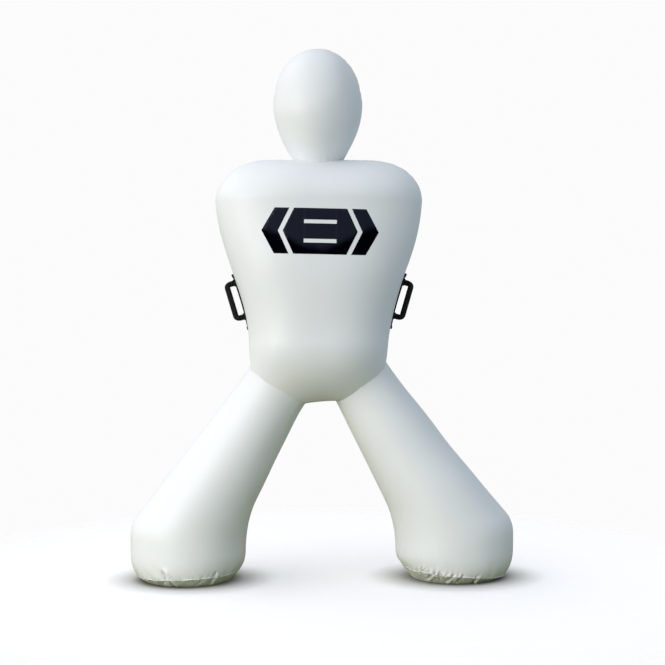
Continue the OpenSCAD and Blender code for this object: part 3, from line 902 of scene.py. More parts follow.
@dataclass
class Torso:
    """The torso skin: a front and a back panel welded round the sides, with the chest emblem."""

    frame: dict
    wardrobe: Wardrobe
    skin: float = 0.0012
    hip_half: float = 0.234
    hip_flare: float = 0.050
    chest_flare: float = 0.030
    belly_swell: float = 0.012
    shoulder_rise: float = 0.140
    shoulder_round: float = 0.180
    section_power: float = 2.6
    bowl_fall: float = 0.055
    weld_margin: float = 0.016
    weld_edge: float = 0.002
    seam_step: float = 0.002
    bowl_rows: int = 64
    side_rows: int = 104
    shoulder_rows: int = 64
    cols: int = 168

    def __post_init__(self) -> None:
        """Takes the torso's place and overall size from the frame."""
        low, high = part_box("torso_front_panel")
        self.top_z = high[2]
        self.shoulder_half = high[0]
        self.hip_z = next(j for j in self.frame["joints"] if j["name"] == "left_leg_swing")["pos_m"][2]
        self.hip_reach = self.hip_z - low[2]
        self.chest_z = self.top_z - self.shoulder_rise

    def side_share(self, z: Points) -> Points:
        """How far up the straight side a height is, from 0 to 1."""
        return between(z, self.hip_z, self.chest_z)

    def half_width(self, z: Points) -> Points:
        """Half width of the torso at a height above the hips."""
        u = self.side_share(z)
        s = eased(u)
        flare = self.hip_flare * u * (1 - u) ** 2 + self.chest_flare * u * u * (u - 1)
        return self.hip_half * (1 - s) + self.shoulder_half * s + flare

    def half_depth(self, z: Points) -> Points:
        """Half depth of the torso at a height above the hips."""
        return self.hip_reach + self.belly_swell * np.sin(math.pi * self.side_share(z)) ** 2

    def bowl_radius(self, x: Points) -> Points:
        """Radius of the bowl about the hip axis, at a distance from the middle."""
        return oval_depth(x, self.hip_half, self.hip_reach, self.section_power)

    def bowl_shrink(self, z: Points) -> Points:
        """Share of its width that the bowl keeps, so that the sides run on smoothly below the hip axis."""
        slope = self.hip_flare / (self.chest_z - self.hip_z)
        fallen = 1 - np.exp(-np.maximum(0, self.hip_z - z) / self.bowl_fall)
        return 1 - slope * self.bowl_fall * fallen / self.hip_half

    def grid(self) -> Points:
        """Points of the back half of the torso, in rows from the bowl's seam to the shoulder ridge."""
        c = np.cos(np.linspace(0, math.pi, self.cols + 1))
        rows: list[Points] = []
        for turn in np.linspace(math.pi / 2, 0, self.bowl_rows, endpoint=False):
            x = c * self.hip_half
            r = self.bowl_radius(x)
            z = self.hip_z - r * math.sin(turn)
            rows.append(np.stack([x * self.bowl_shrink(z), r * math.cos(turn), z], axis=1))
        for z in np.linspace(self.hip_z, self.chest_z, self.side_rows, endpoint=False):
            rows.append(self.level_row(c, float(self.half_width(z)), float(self.half_depth(z)), z))
        flat = self.shoulder_half - self.shoulder_round
        for turn in np.linspace(0, math.pi / 2, self.shoulder_rows):
            width = flat + self.shoulder_round * math.cos(turn)
            height = self.chest_z + self.shoulder_rise * math.sin(turn)
            rows.append(self.level_row(c, width, self.hip_reach * math.cos(turn), height))
        return np.array(rows)

    def level_row(self, c: Points, half_width: float, half_depth: float, z: float) -> Points:
        """One level row of the back half."""
        x = c * half_width
        y = oval_depth(x, half_width, half_depth, self.section_power)
        return np.stack([x, y, np.full_like(x, z)], axis=1)

    def outline(self) -> SeamLine:
        """The closed line where the front and back panels meet, in the plane of the sides."""
        rows = self.grid()
        loop = np.concatenate([rows[0], rows[1:, -1], rows[-1, ::-1], rows[::-1, 0]])
        keep = np.concatenate([[True], np.linalg.norm(np.diff(loop, axis=0), axis=1) > 1e-5])
        return SeamLine(resample(loop[keep], self.seam_step), closed=True)

    def dents(self, seam: SeamLine) -> list[Dent]:
        """Puckers of the side weld over the shoulders, deeper over the left one."""

        def strength(point: Points) -> float:
            """Share of the full depth: high up and far out, less on the right."""
            high = between(point[2], self.chest_z + 0.02, self.chest_z + 0.06)
            outer = between(abs(point[0]), 0.13, 0.18)
            side = 1.0 if point[0] > 0 else 0.35
            return float(high * outer * side)

        return seam_dents(seam, strength, seed=61)

    def build(self, hips: list[Fillet], neck_seam: SeamLine) -> list[bpy.types.Object]:
        """Makes the two skin panels, with their welded margins marked.

        Args:
            hips: the soft joins where the legs are welded on.
            neck_seam: the line where the head is welded on.

        Returns:
            The front panel and the back panel.
        """
        outline = self.outline()
        fields: list[Field] = [
            Undulation(0.0009, seed=5),
            Puckers(outline, depth=0.0042, slant=0.6, weight=self.bend_weight, seed=11),
            Pinch(neck_seam, 0.0015, 0.012),
            Puckers(
                neck_seam, depth=0.0018, reach=(0.012, 0.04), width=(0.004, 0.01), spacing=0.035,
                slant=0.5, seed=17
            ),
        ]
        for number, hip in enumerate(hips):
            fields.append(hip)
            fields.append(Puckers(
                hip.seam, depth=0.0013, reach=(0.015, 0.05), width=(0.005, 0.012), spacing=0.06,
                slant=0.6, seed=23 + number
            ))
        hip_seams = [hip.seam for hip in hips]
        dents = self.dents(outline)
        panels = []
        for face in Face:
            points = self.grid()
            points[..., 1] *= face.value
            points = dented(points, dents, np.array([0.0, 0.0, self.chest_z]))
            panel = make_object(f"torso_{face.word}_skin", points, grid_faces(*points.shape[:2]))
            face_outwards(panel, np.array([0.0, 0.0, self.chest_z]))
            self.mask_welds(panel, [outline, neck_seam, *hip_seams])
            displace(panel, fields)
            hold_seam(panel)
            thicken(panel, self.skin)
            dress(panel, self.wardrobe.skin)
            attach(panel, "torso")
            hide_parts(f"torso_{face.word}_panel")
            panels.append(panel)
        LOG.info("torso skins: %d points", sum(len(p.data.vertices) for p in panels))
        return panels

    def bend_weight(self, points: Points) -> Points:
        """Creases show where the outline turns sharply: over the shoulders and round the bowl."""
        shoulder = between(points[:, 2], self.chest_z - 0.03, self.chest_z + 0.05)
        bowl = between(points[:, 2], self.hip_z, self.hip_z - 0.06)
        straight = 0.22
        return straight + (1 - straight) * np.maximum(shoulder, 0.6 * bowl)

    def mask_welds(self, panel: bpy.types.Object, seams: list[SeamLine]) -> None:
        """Marks the welded margins of a panel of this skin."""
        points = coordinates(panel)
        mask = np.zeros(len(points))
        for seam in seams:
            away, _ = seam.locate(points)
            margin = between(away, self.weld_margin, self.weld_margin - self.weld_edge)
            mask = np.maximum(mask, margin)
        add_mask(panel, "weld", mask)


def hold_seam(panel: bpy.types.Object, reach: float = 0.004, kept: float = 0.02) -> None:
    """Brings the points near the plane of the side seams back to it, so that front and back still meet."""
    points = coordinates(panel)
    on_plane = np.abs(points[:, 1]) < reach
    points[on_plane, 1] *= kept
    set_coordinates(panel, points)


@dataclass
class Emblem:
    """A plain dark emblem on the chest: a long hexagon parted into a middle block and two wings."""

    wardrobe: Wardrobe
    gap: float = 0.016
    notch: float = 0.036
    block_share: float = 0.45
    tip_share: float = 0.22
    bar_reach_share: float = 0.62
    bar_height_share: float = 0.17
    bar_rise_share: float = 0.42
    lift: float = 0.0006
    film: float = 0.0004
    step: float = 0.008
    tilt: float = math.radians(1.5)

    def __post_init__(self) -> None:
        """Takes the emblem's place and size from the frame."""
        low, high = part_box("chest_emblem")
        self.half_width = (high[0] - low[0]) / 2
        self.half_height = (high[2] - low[2]) / 2
        self.middle_z = (low[2] + high[2]) / 2
        self.inner = self.block_share * self.half_width

    def shapes(self) -> list[list[tuple[float, float]]]:
        """Outlines of the emblem's separate areas, as (x, z) from its middle."""
        tall = self.half_height
        corner = self.inner
        point = self.inner + self.notch
        block = [(-corner, -tall), (corner, -tall), (point, 0), (corner, tall), (-corner, tall), (-point, 0)]
        start = self.inner + self.gap
        tip = self.half_width
        end = tip - self.tip_share * self.half_width
        wing = [(start, tall), (start + self.notch, 0), (start, -tall), (end, -tall), (tip, 0), (end, tall)]
        return [block, wing, [(-x, z) for x, z in reversed(wing)]]

    def build(self, chest: bpy.types.Object) -> bpy.types.Object:
        """Makes the film areas and lays them on the chest.

        Args:
            chest: the front panel of the torso.

        Returns:
            The emblem.
        """
        mesh = bmesh.new()
        for outline in self.shapes():
            mesh.faces.new([mesh.verts.new((x, 0.0, z)) for x, z in outline])
        for axis, span in ((Vector((1, 0, 0)), self.half_width), (Vector((0, 0, 1)), self.half_height)):
            count = int(2 * span / self.step)
            for k in range(1, count):
                self.split(mesh, axis * (-span + 2 * span * k / count), axis)
        self.cut_bars(mesh)
        turn = Matrix.Rotation(self.tilt, 3, "Y")
        bmesh.ops.rotate(mesh, verts=mesh.verts[:], cent=(0, 0, 0), matrix=turn)
        self.lay_on(mesh, surface_tree([chest]))
        data = bpy.data.meshes.new("chest_emblem_film")
        mesh.to_mesh(data)
        mesh.free()
        piece = bpy.data.objects.new("chest_emblem_film", data)
        bpy.context.scene.collection.objects.link(piece)
        face_outwards(piece, np.array([0, 0, self.middle_z]))
        data.shade_smooth()
        thicken(piece, self.film)
        dress(piece, self.wardrobe.film)
        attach(piece, "torso")
        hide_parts("chest_emblem")
        LOG.info("emblem: %d points", len(piece.data.vertices))
        return piece

    def lay_on(self, mesh: bmesh.types.BMesh, skin: BVHTree) -> None:
        """Moves the flat film straight back onto the skin."""
        for vertex in mesh.verts:
            start = Vector((vertex.co.x, -1.0, self.middle_z + vertex.co.z))
            hit, normal, _, _ = skin.ray_cast(start, Vector((0, 1, 0)))
            vertex.co = hit + normal * self.lift

    def cut_bars(self, mesh: bmesh.types.BMesh) -> None:
        """Takes the two slim bars out of the middle block."""
        reach = self.bar_reach_share * self.inner
        for row in (-1, 1):
            middle = row * self.bar_rise_share * self.half_height
            low = middle - self.bar_height_share * self.half_height / 2
            high = middle + self.bar_height_share * self.half_height / 2
            for z in (low, high):
                self.split(mesh, Vector((0, 0, z)), Vector((0, 0, 1)))
            for x in (-reach, reach):
                self.split(mesh, Vector((x, 0, 0)), Vector((1, 0, 0)))
            middles = [(face, face.calc_center_median()) for face in mesh.faces]
            inside = [face for face, at in middles if abs(at.x) < reach and low < at.z < high]
            bmesh.ops.delete(mesh, geom=inside, context="FACES")

    @staticmethod
    def split(mesh: bmesh.types.BMesh, place: Vector, normal: Vector) -> None:
        """Parts the faces of a mesh along a plane."""
        everything = mesh.verts[:] + mesh.edges[:] + mesh.faces[:]
        bmesh.ops.bisect_plane(mesh, geom=everything, plane_co=place, plane_no=normal)


# ---------------------------------------------------------------------------------------------
# Head
# ---------------------------------------------------------------------------------------------


@dataclass
class Head:
    """The faceless egg-shaped head, whose skin narrows to the neck and is welded to the shoulders."""

    torso: Torso
    wardrobe: Wardrobe
    neck_radius: float = 0.0838
    weld_radius: float = 0.085
    weld_flare: float = 0.0015
    weld_lap: float = 0.011
    lap_width: float = 0.017
    lap_thickness: float = 0.0018
    tuck: float = 0.004
    bend_length: float = 0.075
    jaw_power: float = 1.95
    crown_power: float = 2.08
    lean: float = 0.0012
    shoulder_fall: float = 0.02
    wide_share: float = 0.442
    around: int = 128
    neck_rows: int = 16
    jaw_rows: int = 48
    crown_rows: int = 64

    def __post_init__(self) -> None:
        """Takes the head's place and size from the frame."""
        low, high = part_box("head_front_panel")
        self.half_width = high[0]
        self.rim_z = low[2]
        self.top_z = high[2]
        self.wide_z = self.rim_z + self.wide_share * (self.top_z - self.rim_z)

    def leaned(self, points: Points) -> Points:
        """Shifts the head a little to the dummy's right, more above the neck."""
        rise = between(points[..., 2], self.torso.top_z - 0.01, self.torso.top_z + 0.04)
        result = points.copy()
        result[..., 0] -= self.lean * eased(rise)
        return result

    def shoulder_height(self, x: Points, y: Points) -> Points:
        """Height of the torso's top at a place near the neck."""
        flat = self.torso.shoulder_half - self.torso.shoulder_round
        level = between(np.abs(y), 0, self.torso.hip_reach)
        ridge = self.torso.chest_z + self.torso.shoulder_rise * np.sqrt(1 - level**2)
        return ridge - self.shoulder_fall * (np.abs(x) / flat) ** 6

    def seam(self) -> SeamLine:
        """The ring where the head is welded to the shoulders."""
        turn = np.linspace(0, 2 * math.pi, 400)
        x, y = self.weld_radius * np.cos(turn), self.weld_radius * np.sin(turn)
        return SeamLine(np.stack([x, y, self.shoulder_height(x, y)], axis=1), closed=True)

    def radius(self, z: Points) -> Points:
        """Radius of the head at a height."""
        z = np.asarray(z, float)
        low, widening = self.torso.top_z, self.half_width - self.neck_radius
        u = between(z, low, self.wide_z)
        jaw = self.neck_radius + widening * (1 - (1 - u) ** self.jaw_power)
        below = np.minimum(0, z - low) * widening * self.jaw_power / (self.wide_z - low)
        t = between(z, self.wide_z, self.top_z)
        crown = self.half_width * np.clip(1 - t**self.crown_power, 0, 1) ** (1 / self.crown_power)
        return np.where(z < self.wide_z, jaw + below, crown)

    def half_grid(self, face: Face) -> Points:
        """Points of half the head, in rows from the weld up to the crown."""
        turn = np.linspace(0, math.pi, self.around + 1)
        out = np.stack([np.cos(turn), face.value * np.sin(turn)], axis=1)
        weld_z = self.shoulder_height(self.weld_radius * out[:, 0], self.weld_radius * out[:, 1])
        rows = []
        tucked_z = weld_z - self.tuck
        for s in np.linspace(0, 1, self.neck_rows, endpoint=False):
            z = tucked_z + (self.rim_z - tucked_z) * s**1.3
            flare = self.weld_flare * np.exp(-np.maximum(0, z - weld_z) / 0.005)
            r = self.radius(z) + flare
            rows.append(np.stack([r * out[:, 0], r * out[:, 1], z], axis=1))
        for z in self.rim_z + (self.wide_z - self.rim_z) * np.linspace(0, 1, self.jaw_rows, endpoint=False):
            rows.append(self.level(out, float(self.radius(z)), z))
        for turn_up in np.linspace(0, math.pi / 2, self.crown_rows):
            z = self.wide_z + (self.top_z - self.wide_z) * math.sin(turn_up) ** (2 / self.crown_power)
            r = self.half_width * math.cos(turn_up) ** (2 / self.crown_power)
            rows.append(self.level(out, max(r, 0.0), z))
        return self.leaned(np.array(rows))

    @staticmethod
    def level(out: Points, radius: float, z: float) -> Points:
        """One level row of the head."""
        return np.concatenate([radius * out, np.full((len(out), 1), z)], axis=1)

    def side_seam(self) -> SeamLine:
        """The line over the crown where the head's two panels meet."""
        rows = self.half_grid(Face.FRONT)
        line = np.concatenate([rows[:, 0], rows[::-1, -1]])
        return SeamLine(resample(line, self.torso.seam_step), closed=False)

    def dents(self, seam: SeamLine) -> list[Dent]:
        """Puckers of the weld over the crown, deeper on the dummy's left."""

        def strength(point: Points) -> float:
            """Share of the full depth: above the widest level, less on the right."""
            high = between(point[2], self.wide_z + 0.01, self.wide_z + 0.06)
            side = 1.0 if point[0] > 0.02 else 0.3
            return float(high * side)

        return seam_dents(seam, strength, seed=67)

    def build(self) -> None:
        """Makes the two head panels and the weld ring at the neck."""
        crown = self.side_seam()
        dents = self.dents(crown)
        weld = self.seam()
        fields: list[Field] = [
            Undulation(0.0006, 0.2, 0.09, seed=31),
            Puckers(
                crown, depth=0.0042, reach=(0.009, 0.034), width=(0.0025, 0.007), spacing=0.017,
                slant=0.7, weight=self.crown_weight, seed=37
            ),
            Puckers(
                weld, depth=0.0022, reach=(0.012, 0.035), width=(0.004, 0.009), spacing=0.03,
                slant=0.5, seed=41
            ),
        ]
        for face in Face:
            points = dented(self.half_grid(face), dents, np.array([0.0, 0.0, self.wide_z]))
            panel = make_object(f"head_{face.word}_skin", points, grid_faces(*points.shape[:2]))
            face_outwards(panel, np.array([0, 0, self.wide_z]))
            self.torso.mask_welds(panel, [crown, weld])
            displace(panel, fields)
            hold_seam(panel)
            thicken(panel, self.torso.skin)
            dress(panel, self.wardrobe.skin)
            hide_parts(f"head_{face.word}_panel")
            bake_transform(panel)
        self.build_weld_ring()
        LOG.info("head skins and neck weld made")

    def crown_weight(self, points: Points) -> Points:
        """Creases show most where the outline turns over the crown."""
        least = 0.25
        return least + (1 - least) * between(points[:, 2], self.wide_z, (self.wide_z + self.top_z) / 2)

    def build_weld_ring(self) -> None:
        """Makes the narrow welded lap that the neck stands in."""
        turn = np.linspace(0, 2 * math.pi, 240, endpoint=False)
        radius = self.weld_radius + self.weld_lap
        x, y = radius * np.cos(turn), radius * np.sin(turn)
        path = np.stack([x, y, self.shoulder_height(x, y) - self.lap_thickness / 3], axis=1)
        further = 0.1
        rise = self.shoulder_height((1 + further) * x, (1 + further) * y) - path[:, 2]
        outward = np.stack([np.cos(turn), np.sin(turn), rise / (further * radius)], axis=1)
        section = rounded_section(self.lap_width, self.lap_thickness, 6.0)
        ring = hoop("neck_weld", path, section, outward)
        add_mask(ring, "weld", np.ones(len(ring.data.vertices)))
        dress(ring, self.wardrobe.skin)
        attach(ring, "torso")
        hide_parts("neck_tube")


# ---------------------------------------------------------------------------------------------
# Legs
# ---------------------------------------------------------------------------------------------


@dataclass(frozen=True)
class LegShape:
    """What differs between the legs: the join at the hip, and the boot's draw, tip, creases and folds."""

    hip_height: float
    hip_reach: float
    fullness: float
    draw: float
    tilt: float
    crumpled: tuple[tuple[float, float, float], ...]
    folds: tuple[Fold, ...]


@dataclass
class Leg:
    """One leg: a cone that leans out from the bowl, stands up into a round boot and ends in a domed sole."""

    side: Side
    shape: LegShape
    torso: Torso
    wardrobe: Wardrobe
    splay: float = math.radians(31.85)
    taper: float = math.radians(5.95)
    root_x: float = 0.122
    root_drop: float = 0.115
    root_radius: float = 0.103
    ankle: float = 0.190
    outer_bend: float = 0.110
    inner_bend: float = 0.400
    sole: float = 0.024
    draw_from: float = 0.115
    draw_power: float = 3.3
    front_draw: float = 0.35
    front_lift: float = 0.005
    tilt_fade: float = 0.05
    fullness_band: tuple[float, float] = (0.50, 0.25)
    rim_tuck: float = 0.028
    flat_share: float = 0.82
    dome_power: float = 1.45
    floor_gap: float = 0.0002
    bead_width: float = 0.0030
    bead_height: float = 0.0034
    bend_start: Place = (0.150, 0.0, 0.672)
    bend_end: Place = (0.266, 0.0, 0.485)
    inside: Place = (0.3, 0.0, 0.4)
    rows: int = 210
    cols: int = 168
    sole_rows: int = 34
    flat_rows: int = 14

    def __post_init__(self) -> None:
        """Sets the root of the leg's cone, drawn for the left leg."""
        self.root = np.array([self.root_x, self.torso.hip_z - self.root_drop])
        self.down = np.array([math.sin(self.splay), -math.cos(self.splay)])
        self.across = np.array([math.cos(self.splay), math.sin(self.splay)])

    def lean(self, edge: int) -> float:
        """Angle of the outer (1) or inner (-1) edge from upright."""
        return self.splay + edge * self.taper

    def bend_radius(self, edge: int) -> float:
        """Radius at which an edge turns upright."""
        return self.outer_bend if edge > 0 else self.inner_bend

    def edge_at(self, edge: int, share: Points) -> tuple[Points, float]:
        """A point of the leg's outline.

        Args:
            edge: 1 for the outer edge and -1 for the inner one.
            share: how far down the edge, from 0 at the root to 1 at the sole seam.

        Returns:
            The points as (x, z), and the whole length of the edge.
        """
        lean, radius = self.lean(edge), self.bend_radius(edge)
        way = np.array([math.sin(lean), -math.cos(lean)])
        start = self.root + edge * self.root_radius * self.across
        corner = start + way * (self.ankle - start[1]) / way[1]
        bend_start = corner - way * radius * math.tan(lean / 2)
        run = float(np.linalg.norm(bend_start - start))
        bend = radius * lean
        bend_end = bend_start + radius * np.array([1 - math.cos(lean), -math.sin(lean)])
        length = run + bend + bend_end[1] - self.sole
        s = np.asarray(share)[..., None] * length
        angle = lean - np.clip(s - run, 0, bend) / radius
        turned = np.concatenate([np.cos(angle) - math.cos(lean), np.sin(angle) - math.sin(lean)], axis=-1)
        on_line = start + way * s
        on_bend = bend_start + radius * turned
        upright = bend_end - np.concatenate([0 * s, s - run - bend], axis=-1)
        points = np.where(s < run, on_line, np.where(s < run + bend, on_bend, upright))
        points[..., 0] -= edge * self.draw_in(points[..., 1])
        return points, length

    def draw_in(self, z: Points) -> Points:
        """How far the boot draws in towards the sole seam at a height."""
        return self.shape.draw * between(z, self.draw_from, self.sole) ** self.draw_power

    def half_depth(self, middle: Points) -> Points:
        """Half depth of the leg at a point of its middle line."""
        drawn = self.front_draw * self.draw_in(middle[..., 1])
        return self.root_radius + (middle - self.root) @ self.down * math.tan(self.taper) - drawn

    def point(self, share: Points, angle: Points) -> Points:
        """A point of the skin at a share of the leg's length and an angle round it, 0 on the outer side."""
        outer, _ = self.edge_at(1, share)
        inner, _ = self.edge_at(-1, share)
        middle, half = (outer + inner) / 2, (outer - inner) / 2
        p = middle + half * np.cos(angle)[..., None]
        y = self.half_depth(middle) * np.sin(angle)
        return np.stack([p[..., 0], y, p[..., 1]], axis=-1)

    def rim_shares(self, angle: Points) -> Points:
        """Where the leg's skin comes out of the torso bowl, at each angle."""
        low, high = np.zeros_like(angle), np.full_like(angle, 0.2)
        for _ in range(24):
            middle = (low + high) / 2
            p = self.point(middle, angle)
            wide_x = p[:, 0] / self.torso.bowl_shrink(p[:, 2])
            outside = np.hypot(p[:, 1], p[:, 2] - self.torso.hip_z) - self.torso.bowl_radius(wide_x)
            low, high = np.where(outside < 0, middle, low), np.where(outside < 0, high, middle)
        return high

    def to_side(self, points: Points) -> Points:
        """Mirrors points drawn for the left leg onto this leg's side."""
        return points * np.array([self.side.value, 1, 1])

    def tilted(self, points: Points) -> Points:
        """Tips the sole seam, lower on the outer side and higher in front."""
        foot, half = self.foot()
        tip = -self.shape.tilt * (points[..., 0] - foot[0]) / half[0]
        lift = self.front_lift * np.abs(points[..., 1]) / half[1]
        above = np.exp(-np.maximum(0, points[..., 2] - self.sole) / self.tilt_fade)
        below = between(points[..., 2], 0, self.sole)
        result = points.copy()
        result[..., 2] += (tip + lift) * above * below
        return result

    def swollen(self, points: Points) -> Points:
        """Spreads the boot outwards by its fullness, more towards its outer side."""
        low = between(points[..., 2], *self.fullness_band)
        inner, _ = self.edge_at(-1, np.array(1.0))
        result = points.copy()
        result[..., 0] += self.shape.fullness * eased(low) * np.maximum(0, points[..., 0] - inner[0])
        return result

    def foot(self) -> tuple[Points, Points]:
        """The middle of the sole seam as (x, z), and its half width and half depth."""
        outer, _ = self.edge_at(1, np.array(1.0))
        inner, _ = self.edge_at(-1, np.array(1.0))
        middle = (outer + inner) / 2
        return middle, np.array([(outer[0] - inner[0]) / 2, float(self.half_depth(middle))])

    def hip_seam(self) -> SeamLine:
        """The ring where the leg is welded to the torso bowl."""
        angle = np.linspace(0, 2 * math.pi, 600)
        return SeamLine(self.to_side(self.point(self.rim_shares(angle), angle)), closed=True)

    def hip_fillet(self) -> Fillet:
        """The soft join between the leg and the torso."""
        return Fillet(self.hip_seam(), self.shape.hip_height, self.shape.hip_reach)

    def sole_seam(self) -> SeamLine:
        """The ring where the sole is welded to the boot."""
        angle = np.linspace(0, 2 * math.pi, 900)
        line = self.point(np.ones_like(angle), angle)
        return SeamLine(self.to_side(self.swollen(self.tilted(line))), closed=True)

    def panel_grid(self, face: Face) -> Points:
        """Points of one leg panel, closer together near the hip and near the sole."""
        angle = np.linspace(0, math.pi, self.cols + 1)
        rim = self.rim_shares(angle) - self.rim_tuck
        crowding = 0.125
        rows = []
        for t in np.linspace(0, 1, self.rows):
            share = t - crowding * math.sin(2 * math.pi * t)
            rows.append(self.point(rim + (1 - rim) * share, face.value * angle))
        return self.to_side(self.swollen(self.tilted(np.array(rows))))

    def creases(self, sole: SeamLine, seed: int) -> list[Field]:
        """Two crossing sets of tight creases over a stretch of the sole seam.

        Args:
            sole: the line of the sole's weld.
            seed: start of the random series.

        Returns:
            One field for each crumpled stretch and direction.
        """

        def set_at(middle: float, half: float, depth: float, lean: float, number: int) -> Field:
            """One set of creases about a place along X."""

            def weight(points: Points) -> Points:
                """Keeps the creases in front and within half of the middle."""
                front = points[:, 1] < 0
                return front * np.exp(-(((points[:, 0] - middle) / half) ** 4))

            return Puckers(
                sole,
                depth=depth,
                reach=(0.010, 0.022),
                width=(0.002, 0.004),
                spacing=0.009,
                slant=lean,
                swell=0.6,
                weight=weight,
                seed=seed + number,
            )

        return [
            set_at(middle, half, depth, lean, number)
            for number, (middle, half, depth) in enumerate(self.shape.crumpled)
            for lean in (0.5, 1.5)
        ]

    def build(self, seed: int) -> None:
        """Makes the leg's two panels, its sole and the weld bead between them."""
        hip, sole = self.hip_seam(), self.sole_seam()
        sole_puckers: list[Field] = [
            Puckers(
                sole, depth=0.0038, reach=(0.006, 0.018), width=(0.002, 0.0045), spacing=0.011,
                slant=0.9, swell=0.45, seed=seed
            ),
            Puckers(
                sole, depth=0.0048, reach=(0.02, 0.05), width=(0.005, 0.011), spacing=0.075,
                slant=1.0, swell=0.35, seed=seed + 1
            ),
            *self.creases(sole, seed + 4),
            *self.shape.folds,
        ]
        fields: list[Field] = [
            Undulation(0.0011, 0.4, 0.15, seed=seed + 2),
            self.hip_fillet(),
            Puckers(
                hip, depth=0.0013, reach=(0.02, 0.07), width=(0.006, 0.013), spacing=0.07,
                slant=0.6, seed=seed + 3
            ),
            *sole_puckers,
        ]
        body = f"{self.side.word}_leg"
        for face in Face:
            points = self.panel_grid(face)
            panel = make_object(f"{body}_{face.word}_skin", points, grid_faces(*points.shape[:2]))
            face_outwards(panel, self.to_side(np.array(self.inside)))
            self.torso.mask_welds(panel, [hip, sole])
            # Mask of painted shade mixed with soiling, strongest near the floor.
            add_mask(panel, "grime", self.grime(coordinates(panel)))
            displace(panel, fields)
            hold_seam(panel)
            thicken(panel, self.torso.skin)
            dress(panel, self.wardrobe.skin)
            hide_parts(f"{body}_{face.word}_panel")
            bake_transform(panel)
        self.build_sole(sole, sole_puckers, body)
        LOG.info("%s made", body)

    @staticmethod
    def grime(points: Points, clean_above: float = 0.02, fade: float = 0.02) -> Points:
        """How much soiling and painted shade the skin gets at each point: fully near the floor, fading
        upwards.
        """
        return np.exp(-np.maximum(0, points[:, 2] - clean_above) / fade)

    def build_sole(self, seam: SeamLine, fields: list[Field], body: str) -> None:
        """Makes the domed sole panel and the weld bead round it.

        Args:
            seam: the line of the sole's weld.
            fields: the creases that cross the seam.
            body: the body that the sole rides on.
        """
        foot, half = self.foot()
        dome = np.linspace(1, 0, self.sole_rows)
        reaches = self.flat_share + (1 - self.flat_share) * dome
        heights = self.sole * dome**self.dome_power
        rows = [self.sole_ring(foot, half, reach, height) for reach, height in zip(reaches, heights)]
        for reach in np.linspace(self.flat_share, 0, self.flat_rows)[1:]:
            rows.append(self.sole_ring(foot, half, reach, 0.0))
        points = self.to_side(self.swollen(self.tilted(np.array(rows))))
        sole = make_object(f"{self.side.word}_sole_skin", points, grid_faces(*points.shape[:2], closed=True))
        face_outwards(sole, self.to_side(np.array([foot[0], 0, self.draw_from])))
        self.torso.mask_welds(sole, [seam])
        # The whole sole gets the painted shade and soiling.
        add_mask(sole, "grime", np.ones(len(sole.data.vertices)))
        displace(sole, fields)
        placed = coordinates(sole)
        placed[:, 2] = np.maximum(placed[:, 2], self.floor_gap)
        set_coordinates(sole, placed)
        thicken(sole, self.torso.skin)
        dress(sole, self.wardrobe.sole)
        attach(sole, body)
        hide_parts(f"{self.side.word}_sole_panel")
        self.build_bead(seam, fields, body)

    def sole_ring(self, foot: Points, half: Points, reach: float, z: float) -> Points:
        """One level ring of the sole."""
        turn = np.linspace(0, 2 * math.pi, 2 * self.cols, endpoint=False)
        x = foot[0] + half[0] * reach * np.cos(turn)
        y = half[1] * reach * np.sin(turn)
        return np.stack([x, y, np.full_like(turn, z)], axis=1)

    def build_bead(self, seam: SeamLine, fields: list[Field], body: str) -> None:
        """Makes the thin bead of weld that stands out round the sole seam."""
        foot, _ = self.foot()
        path = seam.points[:-1].copy()
        outward = path - self.to_side(np.array([foot[0], 0, foot[1]]))
        outward[:, 2] = 0
        outward = unit(outward)
        depth = sum(f(path) for f in fields)
        wobble = Undulation(0.0006, 0.06, 0.02, seed=53)(path)
        path += outward * (0.6 * depth + wobble)[:, None]
        path[:, 2] += 0.6 * wobble
        section = rounded_section(self.bead_width, self.bead_height, 2.4, 12)
        bead = hoop(f"{self.side.word}_sole_weld", path, section, outward)
        add_mask(bead, "weld", np.ones(len(bead.data.vertices)))
        dress(bead, self.wardrobe.skin)
        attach(bead, body)


# ---------------------------------------------------------------------------------------------
# Handles
# ---------------------------------------------------------------------------------------------


def add_strap_map(piece: bpy.types.Object, lengthwise: Points, crosswise: Points) -> None:
    """Stores each point's distance along and across a strap, in metres, as a UV map for the weave."""
    layer = piece.data.uv_layers.new(name="along")
    corners = np.array([loop.vertex_index for loop in piece.data.loops])
    values = np.stack([lengthwise[corners], crosswise[corners]], axis=1)
    layer.data.foreach_set("uv", values.astype(np.float32).ravel())


